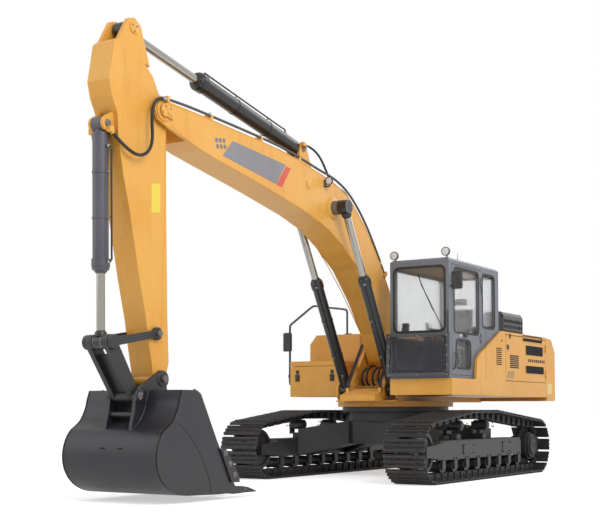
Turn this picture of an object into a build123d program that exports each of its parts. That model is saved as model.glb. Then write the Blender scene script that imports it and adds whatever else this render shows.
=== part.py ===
from build123d import *
import math
import os

os.makedirs("parts", exist_ok=True)

# Crawler excavator of the 26 t class. Millimetres, +Z up, the front faces -Y, the machine's left is +X.
# "Forward" is the distance ahead of the slew axis; "height" is above the ground.

# ---------------------------------------------------------------- driving dimensions
SLEW_Y = 1880.0            # slew axis behind the middle of the machine's length as it is parked
TRACK_GAUGE = 2590.0       # middle of one track to the middle of the other
SHOE_WIDTH = 600.0
AXLE_REACH = 1898.0        # slew axis to the idler's or the sprocket's axis
AXLE_HEIGHT = 420.0
SHOE_COUNT = 49
GROUSER = 25.0
SHOE_PLATE = 14.0
LINK_HEIGHT = 98.0
CARRIER_FORWARD = (700.0, -220.0)
CARRIER_RADIUS = 75.0
TRACK_TOP = 975.0          # over the grousers at the carrier rollers
ROLLER_RADIUS = 75.0
ROLLERS = 8
ROLLER_SPAN = 2750.0       # first to last bottom roller
FRAME_WIDTH = 270.0        # one track frame's box
FRAME_FLOOR = 300.0
FRAME_TOP = 560.0
RING_RADIUS = 800.0
RING_FLOOR = 960.0
UPPER_FLOOR = 1030.0       # the slew ring carries the upper structure here
SKIRT_FLOOR = 1190.0
DECK = 1420.0              # deck top
UPPER_HALF = 1445.0        # half the upper structure's width
DECK_FRONT = 1110.0
REAR_JOINT = -2620.0       # where the hood ends and the counterweight starts
TAIL = -3080.0
HOOD_TOP = 2170.0
PIN_GAP = 0.1              # clearance round a pin that turns in its bore
ROLL_GAP = 0.3             # clearance under a roller, or round a rod in its tube
SIDE_GAP = 6.0             # clearance beside a moving piece

CAB_LEFT = 1400.0
CAB_RIGHT = 490.0
CAB_FRONT = 1100.0
CAB_REAR = -690.0
CAB_TOP = 3100.0
CAB_WALL = 45.0
GLASS = 8.0

BOOM_WIDTH = 420.0
BOOM_PLATE = 14.0
ARM_WIDTH = 300.0
BUCKET_WIDTH = 1300.0

# Pivots in the side view, as (forward, height).
BOOM_FOOT = (330.0, 1750.0)
BOOM_NOSE = (5912.0, 4249.0)
LIFT_BASE = (800.0, 1270.0)
LIFT_EYE = (2220.0, 3720.0)
CROWD_BASE = (2820.0, 4430.0)
CROWD_EYE = (6349.0, 5058.0)
CURL_BASE = (6700.0, 3960.0)
CURL_EYE = (6660.0, 1680.0)
GUIDE_PIVOT = (5955.0, 1800.0)
BUCKET_PIVOT = (5873.0, 1310.0)
BUCKET_EAR = (6265.0, 1125.0)
LIFT_X = 385.0             # middle of a boom cylinder beside the boom
LIFT_EYE_HALF = 75.0       # half the width of a boom cylinder's eyes


# ---------------------------------------------------------------- planes and small helpers
def side_plane(x=0.0):
    """Side view at X = x: local x runs forward from the slew axis, local y up, extrusions to -X."""
    return Plane(origin=(x, SLEW_Y, 0), x_dir=(0, -1, 0), z_dir=(-1, 0, 0))


def plan_plane(height):
    """Plan at a height: local x to the machine's left, local y forward, extrusions downwards."""
    return Plane(origin=(0, SLEW_Y, height), x_dir=(1, 0, 0), z_dir=(0, 0, -1))


def front_plane(forward):
    """Front view: local x to the machine's left, local y up, extrusions forwards."""
    return Plane(origin=(0, SLEW_Y - forward, 0), x_dir=(1, 0, 0), z_dir=(0, -1, 0))


def block(x, forward, height, mode=Mode.ADD):
    """A box between two values of X, forward and height, in the active part."""
    centre = (sum(x) / 2, SLEW_Y - sum(forward) / 2, sum(height) / 2)
    with Locations(centre):
        Box(abs(x[1] - x[0]), abs(forward[1] - forward[0]), abs(height[1] - height[0]), mode=mode)


def bar(place, radius, x, mode=Mode.ADD):
    """A round bar along X about a place in the side view, between two values of X."""
    with BuildSketch(side_plane(max(x))) as outline:
        with Locations(place):
            Circle(radius)
    extrude(outline.sketch, amount=abs(x[1] - x[0]), mode=mode)


def post(x, forward, radius, height, mode=Mode.ADD):
    """A round upright bar between two heights."""
    with BuildSketch(plan_plane(max(height))) as outline:
        with Locations((x, forward)):
            Circle(radius)
    extrude(outline.sketch, amount=abs(height[1] - height[0]), mode=mode)


def profile(points, x, mode=Mode.ADD):
    """A side-view polygon extruded between two values of X."""
    with BuildSketch(side_plane(max(x))) as outline:
        with BuildLine():
            Polyline(*points, close=True)
        make_face()
    extrude(outline.sketch, amount=abs(x[1] - x[0]), mode=mode)


def link(start, end, start_radius, end_radius, x, mode=Mode.ADD):
    """A plate with round ends about two places in the side view, between two values of X."""
    reach = math.dist(start, end)
    lean = math.atan2(end[1] - start[1], end[0] - start[0])
    spread = math.acos((start_radius - end_radius) / reach)
    corners = [(place[0] + radius * math.cos(lean + turn), place[1] + radius * math.sin(lean + turn))
               for place, radius, turn in ((start, start_radius, spread), (end, end_radius, spread),
                                           (end, end_radius, -spread), (start, start_radius, -spread))]
    with BuildSketch(side_plane(max(x))) as outline:
        with BuildLine():
            Polyline(*corners, close=True)
        make_face()
        with Locations(start):
            Circle(start_radius)
        with Locations(end):
            Circle(end_radius)
    extrude(outline.sketch, amount=abs(x[1] - x[0]), mode=mode)


def lug(place, radius, rear, front, x, mode=Mode.ADD):
    """A plate round a pin, its sides running from the round end to two points of its foot."""
    corners = [rear]
    for foot, sense in ((rear, -1), (front, 1)):
        lean = math.atan2(foot[1] - place[1], foot[0] - place[0])
        turn = lean + sense * math.acos(radius / math.dist(place, foot))
        corners.append((place[0] + radius * math.cos(turn), place[1] + radius * math.sin(turn)))
    corners.append(front)
    profile(corners, x, mode=mode)
    bar(place, radius, x, mode=mode)


HINGE_PIN = 5.0
HINGE_RADIUS = 9.0
HINGE_END = 30.0           # length of a fixed knuckle at each end of a hinge
HINGE_LENGTH = 120.0


def hinge_bar(start, radius, offset, length, mode=Mode.ADD):
    """A round bar of a hinge, from an offset along the hinge's axis plane."""
    with BuildSketch(start.offset(offset)) as section:
        Circle(radius)
    extrude(section.sketch, amount=length, mode=mode)


def hinge_fixed(start):
    """The two fixed knuckles of a hinge and its pin, from the axis plane at its start."""
    hinge_bar(start, HINGE_RADIUS, 0, HINGE_END)
    hinge_bar(start, HINGE_RADIUS, HINGE_LENGTH - HINGE_END, HINGE_END)
    hinge_bar(start, HINGE_PIN, 0, HINGE_LENGTH)


def hinge_moving(start):
    """The middle knuckle of a hinge, which turns on its pin."""
    hinge_bar(start, HINGE_RADIUS, HINGE_END + 2, HINGE_LENGTH - 2 * HINGE_END - 4)


def hinge_bore(start):
    """The bore of the middle knuckle."""
    hinge_bar(start, HINGE_PIN + PIN_GAP, HINGE_END, HINGE_LENGTH - 2 * HINGE_END, mode=Mode.SUBTRACT)


def upright_axis(x, forward, height):
    """Start plane of a hinge whose axis stands upright, at its lower end."""
    return Plane(origin=(x, SLEW_Y - forward, height), x_dir=(1, 0, 0), z_dir=(0, 0, 1))


def cross_axis(x, forward, height):
    """Start plane of a hinge whose axis lies along X, at its right end."""
    return Plane(origin=(x, SLEW_Y - forward, height), x_dir=(0, 1, 0), z_dir=(1, 0, 0))


def save(part, name):
    """Labels a finished piece and writes it under its node name."""
    part.label = name
    export_step(part, f"parts/{name}.step")


def between(start, end, share):
    """The point that lies a share of the way from start to end."""
    return tuple(a + (b - a) * share for a, b in zip(start, end))


def along(start, end, distance):
    """The point at a distance from start on the line to end."""
    return between(start, end, distance / math.dist(start, end))


# ---------------------------------------------------------------- the track's path
def belt_runs(wheels):
    """Tangent runs and arcs round wheels of (forward, height, radius), anticlockwise in side view.

    Each entry is (length, centre or start, radius or None, first normal angle).
    """
    normals = []
    for (f0, h0, r0), (f1, h1, r1) in zip(wheels, wheels[1:] + wheels[:1]):
        reach = math.hypot(f1 - f0, h1 - h0)
        normals.append(math.atan2(h1 - h0, f1 - f0) - math.acos((r0 - r1) / reach))
    runs = []
    for i, (f, h, r) in enumerate(wheels):
        turn = (normals[i] - normals[i - 1]) % math.tau
        runs.append((r * turn, (f, h), r, normals[i - 1]))
        f1, h1, r1 = wheels[(i + 1) % len(wheels)]
        start = (f + r * math.cos(normals[i]), h + r * math.sin(normals[i]))
        end = (f1 + r1 * math.cos(normals[i]), h1 + r1 * math.sin(normals[i]))
        runs.append((math.dist(start, end), start, None, normals[i]))
    return runs


def belt_place(runs, distance):
    """The point and outward normal angle at a distance along the belt."""
    for length, origin, radius, normal in runs:
        if distance <= length:
            if radius:
                angle = normal + distance / radius
                point = (origin[0] + radius * math.cos(angle), origin[1] + radius * math.sin(angle))
                return point, angle
            return (origin[0] - distance * math.sin(normal), origin[1] + distance * math.cos(normal)), normal
        distance -= length
    return belt_place(runs, 0)


def belt_outline(runs, shoe_profile):
    """Closed outline that repeats one shoe's (along, outward) points round the belt."""
    pitch = sum(run[0] for run in runs) / SHOE_COUNT
    points = []
    for shoe in range(SHOE_COUNT):
        (f, h), normal = belt_place(runs, (shoe + 0.5) * pitch)
        for share, out in shoe_profile:
            step = share * pitch
            points.append((f - step * math.sin(normal) + out * math.cos(normal),
                           h + step * math.cos(normal) + out * math.sin(normal)))
    return points


PLATE_RADIUS = AXLE_HEIGHT - GROUSER
WHEEL_RADIUS = PLATE_RADIUS - SHOE_PLATE - LINK_HEIGHT
CARRIER_HEIGHT = TRACK_TOP - GROUSER - SHOE_PLATE - LINK_HEIGHT - CARRIER_RADIUS
CARRIER_BELT = CARRIER_RADIUS + LINK_HEIGHT + SHOE_PLATE
BELT = belt_runs([
    (AXLE_REACH, AXLE_HEIGHT, PLATE_RADIUS),
    (CARRIER_FORWARD[0], CARRIER_HEIGHT, CARRIER_BELT),
    (CARRIER_FORWARD[1], CARRIER_HEIGHT, CARRIER_BELT),
    (-AXLE_REACH, AXLE_HEIGHT, PLATE_RADIUS),
])
GROUSER_ROW = [(-0.47, 0), (-0.41, GROUSER), (-0.35, 0), (-0.06, 0), (0, GROUSER), (0.06, 0),
               (0.35, 0), (0.41, GROUSER), (0.47, 0)]
CHAIN_FLOOR = GROUSER + SHOE_PLATE + LINK_HEIGHT   # the bottom run's inner face above the ground
LINK_ROW = 75.0            # a row of links beside the track's middle
LINK_THICKNESS = 44.0
TRACK_MIDDLE = TRACK_GAUGE / 2


def track_band(x, inner, outer_profile):
    """One closed band of the track between two X values, from its outer profile to an inner offset."""
    with BuildSketch(side_plane(max(x))) as outline:
        with BuildLine():
            Polyline(*belt_outline(BELT, outer_profile), close=True)
        make_face()
        with BuildLine():
            Polyline(*belt_outline(BELT, [(-0.25, inner), (0.25, inner)]), close=True)
        make_face(mode=Mode.SUBTRACT)
    extrude(outline.sketch, amount=abs(x[1] - x[0]))


for side, name in ((1, "left"), (-1, "right")):
    middle = side * TRACK_MIDDLE
    with BuildPart() as track:
        track_band((middle - SHOE_WIDTH / 2, middle + SHOE_WIDTH / 2), -SHOE_PLATE, GROUSER_ROW)
        for row in (-LINK_ROW, LINK_ROW):
            edges = (middle + row - LINK_THICKNESS / 2, middle + row + LINK_THICKNESS / 2)
            track_band(edges, -SHOE_PLATE - LINK_HEIGHT, [(-0.25, -SHOE_PLATE / 2), (0.25, -SHOE_PLATE / 2)])
    save(track.part, f"track_{name}")

# ---------------------------------------------------------------- track frames and wheels
FRAME_FRONT = 1560.0
FRAME_REAR = -1470.0
YOKE_PLATE = 40.0
YOKE_HALF = 125.0          # middle of the track to a yoke plate's inner face

for side, name in ((1, "left"), (-1, "right")):
    middle = side * TRACK_MIDDLE
    with BuildPart() as track_frame:
        with BuildSketch(side_plane(middle + FRAME_WIDTH / 2)):
            with BuildLine():
                Polyline(
                    (FRAME_FRONT, FRAME_FLOOR), (FRAME_FRONT, FRAME_TOP - 60), (FRAME_FRONT - 120, FRAME_TOP),
                    (FRAME_REAR + 60, FRAME_TOP), (FRAME_REAR, FRAME_TOP - 60), (FRAME_REAR, FRAME_FLOOR),
                    close=True)
            make_face()
        extrude(amount=FRAME_WIDTH)
        for inward in (-1, 1):
            inner = middle + inward * YOKE_HALF
            outer = middle + inward * (YOKE_HALF + YOKE_PLATE)
            profile([(FRAME_FRONT - 200, FRAME_FLOOR), (AXLE_REACH + 60, 350), (AXLE_REACH + 60, 490),
                     (FRAME_FRONT - 200, 540)], (inner, outer))
        for forward in CARRIER_FORWARD:
            block((middle - 60, middle + 60), (forward - 70, forward + 70), (FRAME_TOP, FRAME_TOP + 60))
        bar((-AXLE_REACH, AXLE_HEIGHT), 150, (middle - side * 165, middle - side * 60))
        profile([(FRAME_REAR + 200, FRAME_FLOOR), (-AXLE_REACH - 60, 330), (-AXLE_REACH - 60, 510),
                 (FRAME_REAR + 200, 540)], (middle - side * 165, middle - side * 125))
    save(track_frame.part, f"track_frame_{name}")

with BuildPart() as front_idlers:
    for side in (1, -1):
        middle = side * TRACK_MIDDLE
        bar((AXLE_REACH, AXLE_HEIGHT), WHEEL_RADIUS - ROLL_GAP, (middle - 105, middle + 105))
        bar((AXLE_REACH, AXLE_HEIGHT), WHEEL_RADIUS + 18, (middle - 38, middle + 38))
        for face in (middle - 105, middle + 105):
            bar((AXLE_REACH, AXLE_HEIGHT), WHEEL_RADIUS - 50, (face - 22, face + 22), mode=Mode.SUBTRACT)
            bar((AXLE_REACH, AXLE_HEIGHT), 90, (face - 20, face + 20))
save(front_idlers.part, "front_idlers")

SPROCKET_TEETH = 21
with BuildPart() as sprockets:
    for side in (1, -1):
        middle = side * TRACK_MIDDLE
        with BuildSketch(side_plane(middle + 30)):
            with Locations((-AXLE_REACH, AXLE_HEIGHT)):
                Circle(WHEEL_RADIUS - 5)
                with PolarLocations(WHEEL_RADIUS - 5, SPROCKET_TEETH):
                    Rectangle(60, 34)
        extrude(amount=60)
save(sprockets.part, "sprockets")

with BuildPart() as final_drives:
    for side in (1, -1):
        middle = side * TRACK_MIDDLE
        for radius, start, end in ((215, 30, 120), (190, 120, 165), (95, 165, 185)):
            bar((-AXLE_REACH, AXLE_HEIGHT), radius, (middle + side * start, middle + side * end))
        bar((-AXLE_REACH, AXLE_HEIGHT), 170, (middle - side * 60, middle - side * 30))
save(final_drives.part, "final_drives")

with BuildPart() as track_rollers:
    for side in (1, -1):
        middle = side * TRACK_MIDDLE
        for index in range(ROLLERS):
            forward = ROLLER_SPAN * (index / (ROLLERS - 1) - 0.5)
            place = (forward, CHAIN_FLOOR + ROLLER_RADIUS)
            bar(place, ROLLER_RADIUS - ROLL_GAP, (middle - 105, middle + 105))
            bar(place, ROLLER_RADIUS + 9, (middle - 115, middle - 103))
            bar(place, ROLLER_RADIUS + 9, (middle + 103, middle + 115))
            bar(place, 32, (middle - 145, middle + 145))
            for face in (-1, 1):
                edges = (middle + face * 117, middle + face * 145)
                block(edges, (forward - 50, forward + 50), (CHAIN_FLOOR + ROLLER_RADIUS - 40, FRAME_FLOOR))
save(track_rollers.part, "track_rollers")

with BuildPart() as carrier_rollers:
    for side in (1, -1):
        middle = side * TRACK_MIDDLE
        for forward in CARRIER_FORWARD:
            place = (forward, CARRIER_HEIGHT)
            bar(place, CARRIER_RADIUS - 3, (middle - 100, middle + 100))
            bar(place, CARRIER_RADIUS - 25, (middle + 100, middle + 118))
            block((middle - 130, middle - 102), (forward - 55, forward + 55), (FRAME_TOP + 60, CARRIER_HEIGHT + 50))
            block((middle - 130, middle + 60), (forward - 55, forward + 55), (FRAME_TOP + 60, FRAME_TOP + 80))
            bar(place, 30, (middle - 130, middle - 100))
save(carrier_rollers.part, "carrier_rollers")

# ---------------------------------------------------------------- car body and slew ring
BODY_HALF = 560.0
BODY_FLOOR = 480.0
BODY_TOP = 820.0
FRAME_INNER = TRACK_MIDDLE - FRAME_WIDTH / 2
with BuildPart() as car_body:
    block((-BODY_HALF, BODY_HALF), (-640, 640), (BODY_FLOOR, BODY_TOP))
    chamfer(car_body.edges().filter_by(Axis.Z), 180)
    post(0, 0, RING_RADIUS - 100, (BODY_TOP, RING_FLOOR))
    for side in (1, -1):
        for end in (1, -1):
            with BuildSketch(Plane(origin=(side * (BODY_HALF - 60), SLEW_Y - end * 330, 0),
                                   x_dir=(0, -1, 0), z_dir=(-1, 0, 0))) as root:
                with Locations((0, (BODY_FLOOR + BODY_TOP) / 2)):
                    Rectangle(420, BODY_TOP - BODY_FLOOR)
            with BuildSketch(Plane(origin=(side * FRAME_INNER, SLEW_Y - end * 720, 0),
                                   x_dir=(0, -1, 0), z_dir=(-1, 0, 0))) as tip:
                with Locations((0, 500)):
                    Rectangle(420, 400)
            loft(sections=[root.sketch.face(), tip.sketch.face()])
save(car_body.part, "car_body")

with BuildPart() as slew_ring:
    post(0, 0, RING_RADIUS, (RING_FLOOR, UPPER_FLOOR))
    post(0, 0, RING_RADIUS - 170, (RING_FLOOR, UPPER_FLOOR), mode=Mode.SUBTRACT)
save(slew_ring.part, "slew_ring")

# ---------------------------------------------------------------- upper frame
TOWER_INNER = BOOM_WIDTH / 2 + 25 + SIDE_GAP
TOWER_PLATE = 45.0
PLATE_TOP = UPPER_FLOOR + 80
FOOT_PIN = 55.0
LIFT_PIN = 42.0
LIFT_LUG = 30.0
LIFT_GAP = 86.0            # middle of a boom cylinder to the inner face of its lugs
with BuildPart() as upper_frame:
    post(0, 0, RING_RADIUS + 70, (UPPER_FLOOR, PLATE_TOP))
    profile([(REAR_JOINT, PLATE_TOP), (REAR_JOINT, DECK - 40), (560, DECK - 40), (1190, 1190), (1190, PLATE_TOP)],
            (-TOWER_INNER - TOWER_PLATE, TOWER_INNER + TOWER_PLATE))
    block((-UPPER_HALF, UPPER_HALF), (REAR_JOINT, 100), (SKIRT_FLOOR, DECK))
    block((CAB_RIGHT, UPPER_HALF), (100, DECK_FRONT), (SKIRT_FLOOR, DECK))
    block((-UPPER_HALF, -560), (100, 150), (SKIRT_FLOOR, DECK))
    for side in (1, -1):
        profile([(-420, DECK - 50), (-300, 1780), (210, 1900), (450, 1900), (560, 1780), (860, 1400), (860, 1290)],
                (side * TOWER_INNER, side * (TOWER_INNER + TOWER_PLATE)))
        for face in (-1, 1):
            inner = side * LIFT_X + face * LIFT_GAP
            profile([(500, 1120), (500, 1380), (740, 1390), (860, 1390), (930, 1300), (930, 1190), (860, 1120)],
                    (inner, inner + face * LIFT_LUG))
    bar(BOOM_FOOT, FOOT_PIN + PIN_GAP, (-500, 500), mode=Mode.SUBTRACT)
    block((-501, 501), (500, 930), (PLATE_TOP - 10, 1121))
    bar(LIFT_BASE, LIFT_PIN, (-505, 505), mode=Mode.SUBTRACT)
    for side in (1, -1):
        edges = (side * (LIFT_X - LIFT_GAP), side * (LIFT_X + LIFT_GAP))
        block(edges, (560, 1200), (1121, 1500), mode=Mode.SUBTRACT)
save(upper_frame.part, "upper_frame")

with BuildPart() as frame_pins:
    bar(BOOM_FOOT, FOOT_PIN, (-TOWER_INNER - TOWER_PLATE - 20, TOWER_INNER + TOWER_PLATE + 20))
    for side in (1, -1):
        edge = side * (LIFT_X - LIFT_GAP - LIFT_LUG)
        bar(LIFT_BASE, LIFT_PIN - PIN_GAP, (edge, side * (LIFT_X + LIFT_GAP + LIFT_LUG)))
save(frame_pins.part, "frame_pins")

with BuildPart() as counterweight:
    with BuildSketch(side_plane()):
        with BuildLine():
            Polyline((REAR_JOINT, 1130), (REAR_JOINT, HOOD_TOP - 10), (REAR_JOINT - 230, HOOD_TOP - 20),
                     (TAIL + 70, 1950), (TAIL, 1700), (TAIL, 1250), (TAIL + 90, 1130), close=True)
        make_face()
    extrude(amount=UPPER_HALF, both=True)
    rear_edges = counterweight.edges().filter_by(Axis.Z).sort_by(Axis.Y)[-2:]
    chamfer(rear_edges, 60)
save(counterweight.part, "counterweight")

# ---------------------------------------------------------------- hood, tanks and engine
PANEL = 30.0
SPLIT = -860.0             # joint between the fixed side box and the hinged side door
with BuildPart() as left_side_box:
    profile([(270, DECK), (240, 1700), (120, 1790), (-700, HOOD_TOP), (-850, HOOD_TOP), (-850, DECK)],
            (CAB_LEFT + 6, UPPER_HALF))
    block((760, UPPER_HALF), (CAB_REAR - 15, -850), (DECK, HOOD_TOP))
save(left_side_box.part, "left_side_box")

with BuildPart() as engine:
    block((-500, 650), (-2050, -1150), (DECK, 1960))
save(engine.part, "engine")

PILLAR_FRONT = -2575.0
DOOR_AXIS = PILLAR_FRONT + 4
SIDE_DOOR_REAR = PILLAR_FRONT + 8
HOOD_AXIS = (-2602.0, 2160.0)
LEFT_HINGES = [upright_axis(UPPER_HALF + HINGE_RADIUS + 1, DOOR_AXIS, height) for height in (1500, 1920)]
RIGHT_HINGES = [upright_axis(-UPPER_HALF - HINGE_RADIUS - 1, DOOR_AXIS, height) for height in (1500, 1920)]
HOOD_HINGES = [cross_axis(x, *HOOD_AXIS) for x in (-1060, 940)]
with BuildPart() as engine_bay:
    block((-500, 730), (-850, -810), (DECK, HOOD_TOP - 45))
    block((-1000, -960), (-2600, -850), (DECK, HOOD_TOP - 45))
    block((-UPPER_HALF, UPPER_HALF), (REAR_JOINT, PILLAR_FRONT), (DECK, HOOD_TOP - 45))
    for side, hinges in ((1, LEFT_HINGES), (-1, RIGHT_HINGES)):
        for start in hinges:
            hinge_fixed(start)
            block((side * UPPER_HALF, side * (UPPER_HALF + 5)), (PILLAR_FRONT - 40, DOOR_AXIS),
                  (start.origin.Z, start.origin.Z + HINGE_END))
            block((side * UPPER_HALF, side * (UPPER_HALF + 5)), (PILLAR_FRONT - 40, DOOR_AXIS),
                  (start.origin.Z + HINGE_LENGTH - HINGE_END, start.origin.Z + HINGE_LENGTH))
    for start in HOOD_HINGES:
        hinge_fixed(start)
        for end in (0, HINGE_LENGTH - HINGE_END):
            x = start.origin.X + end
            block((x, x + HINGE_END), (REAR_JOINT, HOOD_AXIS[0]), (HOOD_AXIS[1] - HINGE_RADIUS - 40, HOOD_AXIS[1]))
save(engine_bay.part, "engine_bay")

with BuildPart() as fuel_tank:
    with BuildSketch(front_plane(-850)):
        with BuildLine():
            Polyline((-530, DECK), (-530, HOOD_TOP - 20), (-1300, HOOD_TOP - 20), (-1420, 2010), (-1420, DECK),
                     close=True)
        make_face()
    extrude(amount=1000)
save(fuel_tank.part, "fuel_tank")

LID_AXIS = (163.0, 1712.0)
LID_REAR = 175.0
LID_HINGES = [cross_axis(x, *LID_AXIS) for x in (-1330, -800)]
with BuildPart() as tool_box:
    block((-1430, -580), (150, 720), (1180, 1640))
    block((-1400, -610), (190, 690), (1220, 1640), mode=Mode.SUBTRACT)
    for start in LID_HINGES:
        hinge_fixed(start)
        for end in (0, HINGE_LENGTH - HINGE_END):
            x = start.origin.X + end
            block((x, x + HINGE_END), (LID_AXIS[0] - 8, LID_AXIS[0]), (1600, LID_AXIS[1]))
save(tool_box.part, "tool_box")

with BuildPart() as tool_box_lid:
    block((-1432, -578), (LID_REAR, 722), (1646, 1720))
    block((-1400, -610), (LID_REAR + 30, 690), (1640, 1690), mode=Mode.SUBTRACT)
    for start in LID_HINGES:
        x = start.origin.X + HINGE_END + 2
        block((x, x + HINGE_LENGTH - 2 * HINGE_END - 4), (LID_AXIS[0], LID_REAR + 5),
              (LID_AXIS[1] - 4, LID_AXIS[1] + 4))
        hinge_moving(start)
        hinge_bore(start)
save(tool_box_lid.part, "tool_box_lid")

with BuildPart() as left_side_door:
    block((UPPER_HALF - 35, UPPER_HALF), (SIDE_DOOR_REAR, SPLIT), (DECK + 8, HOOD_TOP - 50))
    for start in LEFT_HINGES:
        block((UPPER_HALF, (UPPER_HALF + 5)), (DOOR_AXIS, DOOR_AXIS + 50),
              (start.origin.Z + HINGE_END + 2, start.origin.Z + HINGE_LENGTH - HINGE_END - 2))
        hinge_moving(start)
        hinge_bore(start)
save(left_side_door.part, "left_side_door")

with BuildPart() as right_side_door:
    block((-UPPER_HALF, -UPPER_HALF + 35), (SIDE_DOOR_REAR, SPLIT), (DECK + 8, HOOD_TOP - 50))
    for start in RIGHT_HINGES:
        block((-UPPER_HALF, -(UPPER_HALF + 5)), (DOOR_AXIS, DOOR_AXIS + 50),
              (start.origin.Z + HINGE_END + 2, start.origin.Z + HINGE_LENGTH - HINGE_END - 2))
        hinge_moving(start)
        hinge_bore(start)
save(right_side_door.part, "right_side_door")

HOOD_REAR = -2588.0
with BuildPart() as engine_hood:
    block((-UPPER_HALF, UPPER_HALF), (HOOD_REAR, -857), (HOOD_TOP - 40, HOOD_TOP))
    for start in HOOD_HINGES:
        x = start.origin.X + HINGE_END + 2
        block((x, x + HINGE_LENGTH - 2 * HINGE_END - 4), (HOOD_AXIS[0], HOOD_REAR + 5),
              (HOOD_AXIS[1] - 5, HOOD_AXIS[1] + 5))
        hinge_moving(start)
        hinge_bore(start)
save(engine_hood.part, "engine_hood")

# ---------------------------------------------------------------- cab
DOOR_FRONT = 1000.0
DOOR_REAR = 0.0
DOOR_FLOOR = 1470.0
DOOR_TOP = 3010.0
DOOR_GAP = 8.0
# The door's lower rear corner is cut away along the side box's sloping front edge.
DOOR_OUTLINE = [(DOOR_FRONT, DOOR_FLOOR), (DOOR_FRONT, DOOR_TOP), (DOOR_REAR, DOOR_TOP), (DOOR_REAR, 1905),
                (150, 1835), (275, 1735), (300, 1650), (300, DOOR_FLOOR)]
CAB_DOOR_AXIS = DOOR_REAR - 5
DOOR_HINGES = [upright_axis(CAB_LEFT + HINGE_RADIUS + 1, CAB_DOOR_AXIS, height) for height in (1960, 2780)]
with BuildPart() as cab_floor:
    block((CAB_RIGHT, CAB_LEFT), (CAB_REAR, CAB_FRONT), (DECK, DECK + 45))
save(cab_floor.part, "cab_floor")

with BuildPart() as cab_frame:
    block((CAB_RIGHT, CAB_LEFT), (CAB_REAR, CAB_FRONT), (DECK + 45, CAB_TOP - 80))
    block((CAB_RIGHT + CAB_WALL, CAB_LEFT - CAB_WALL), (CAB_REAR + CAB_WALL, CAB_FRONT - CAB_WALL),
          (DECK + 45, CAB_TOP - 80), mode=Mode.SUBTRACT)
    block((CAB_RIGHT + 75, CAB_LEFT - 75), (CAB_FRONT - 60, CAB_FRONT + 10), (2090, 2970), mode=Mode.SUBTRACT)
    block((CAB_RIGHT + 75, CAB_LEFT - 75), (CAB_FRONT - 60, CAB_FRONT + 10), (1540, 2010), mode=Mode.SUBTRACT)
    with BuildSketch(side_plane(CAB_LEFT + 10)):
        with BuildLine():
            Polyline(*DOOR_OUTLINE, close=True)
        make_face()
        offset(amount=DOOR_GAP, kind=Kind.INTERSECTION)
    extrude(amount=80, mode=Mode.SUBTRACT)
    block((CAB_LEFT - 60, CAB_LEFT + 10), (-520, -90), (2200, 2960), mode=Mode.SUBTRACT)
    block((CAB_RIGHT - 10, CAB_RIGHT + 60), (-560, 960), (2000, 2960), mode=Mode.SUBTRACT)
    block((CAB_RIGHT + 90, CAB_LEFT - 90), (CAB_REAR - 10, CAB_REAR + 60), (2250, 2960), mode=Mode.SUBTRACT)
    for start in DOOR_HINGES:
        hinge_fixed(start)
        for end in (0, HINGE_LENGTH - HINGE_END):
            block((CAB_LEFT, CAB_LEFT + 5), (CAB_DOOR_AXIS - 50, CAB_DOOR_AXIS),
                  (start.origin.Z + end, start.origin.Z + end + HINGE_END))
save(cab_frame.part, "cab_frame")

with BuildPart() as cab_roof:
    block((CAB_RIGHT, CAB_LEFT), (CAB_REAR, CAB_FRONT), (CAB_TOP - 80, CAB_TOP))
    chamfer(cab_roof.faces().sort_by(Axis.Z)[-1].edges(), 30)
save(cab_roof.part, "cab_roof")

with BuildPart() as windscreen:
    for floor, top in ((2090, 2970), (1540, 2010)):
        block((CAB_RIGHT + 75, CAB_LEFT - 75), (CAB_FRONT - 30, CAB_FRONT - 30 + GLASS), (floor, top))
save(windscreen.part, "windscreen")

with BuildPart() as cab_windows:
    block((CAB_LEFT - 30, CAB_LEFT - 30 + GLASS), (-520, -90), (2200, 2960))
    block((CAB_RIGHT + 15, CAB_RIGHT + 15 + GLASS), (-560, 960), (2000, 2960))
    block((CAB_RIGHT + 90, CAB_LEFT - 90), (CAB_REAR + 15, CAB_REAR + 15 + GLASS), (2250, 2960))
save(cab_windows.part, "cab_windows")

with BuildPart() as cab_door:
    profile(DOOR_OUTLINE, (CAB_LEFT - CAB_WALL + 5, CAB_LEFT))
    block((CAB_LEFT - 80, CAB_LEFT + 20), (DOOR_REAR + 80, DOOR_FRONT - 90), (2080, DOOR_TOP - 50),
          mode=Mode.SUBTRACT)
    block((CAB_LEFT - 80, CAB_LEFT + 20), (DOOR_REAR + 380, DOOR_FRONT - 150), (1580, 1950), mode=Mode.SUBTRACT)
    for start in DOOR_HINGES:
        block((CAB_LEFT, CAB_LEFT + 5), (CAB_DOOR_AXIS, CAB_DOOR_AXIS + 50),
              (start.origin.Z + HINGE_END + 2, start.origin.Z + HINGE_LENGTH - HINGE_END - 2))
        hinge_moving(start)
        hinge_bore(start)
save(cab_door.part, "cab_door")

with BuildPart() as door_glass:
    block((CAB_LEFT - 30, CAB_LEFT - 30 + GLASS), (DOOR_REAR + 80, DOOR_FRONT - 90), (2080, DOOR_TOP - 50))
    block((CAB_LEFT - 30, CAB_LEFT - 30 + GLASS), (DOOR_REAR + 380, DOOR_FRONT - 150), (1580, 1950))
save(door_glass.part, "door_glass")

with BuildPart() as operator_seat:
    block((720, 1220), (-150, 350), (1900, 2030))
    block((730, 1210), (-260, -140), (2030, 2650))
    block((860, 1080), (-100, 200), (DECK + 45, 1900))
save(operator_seat.part, "operator_seat")

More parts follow.
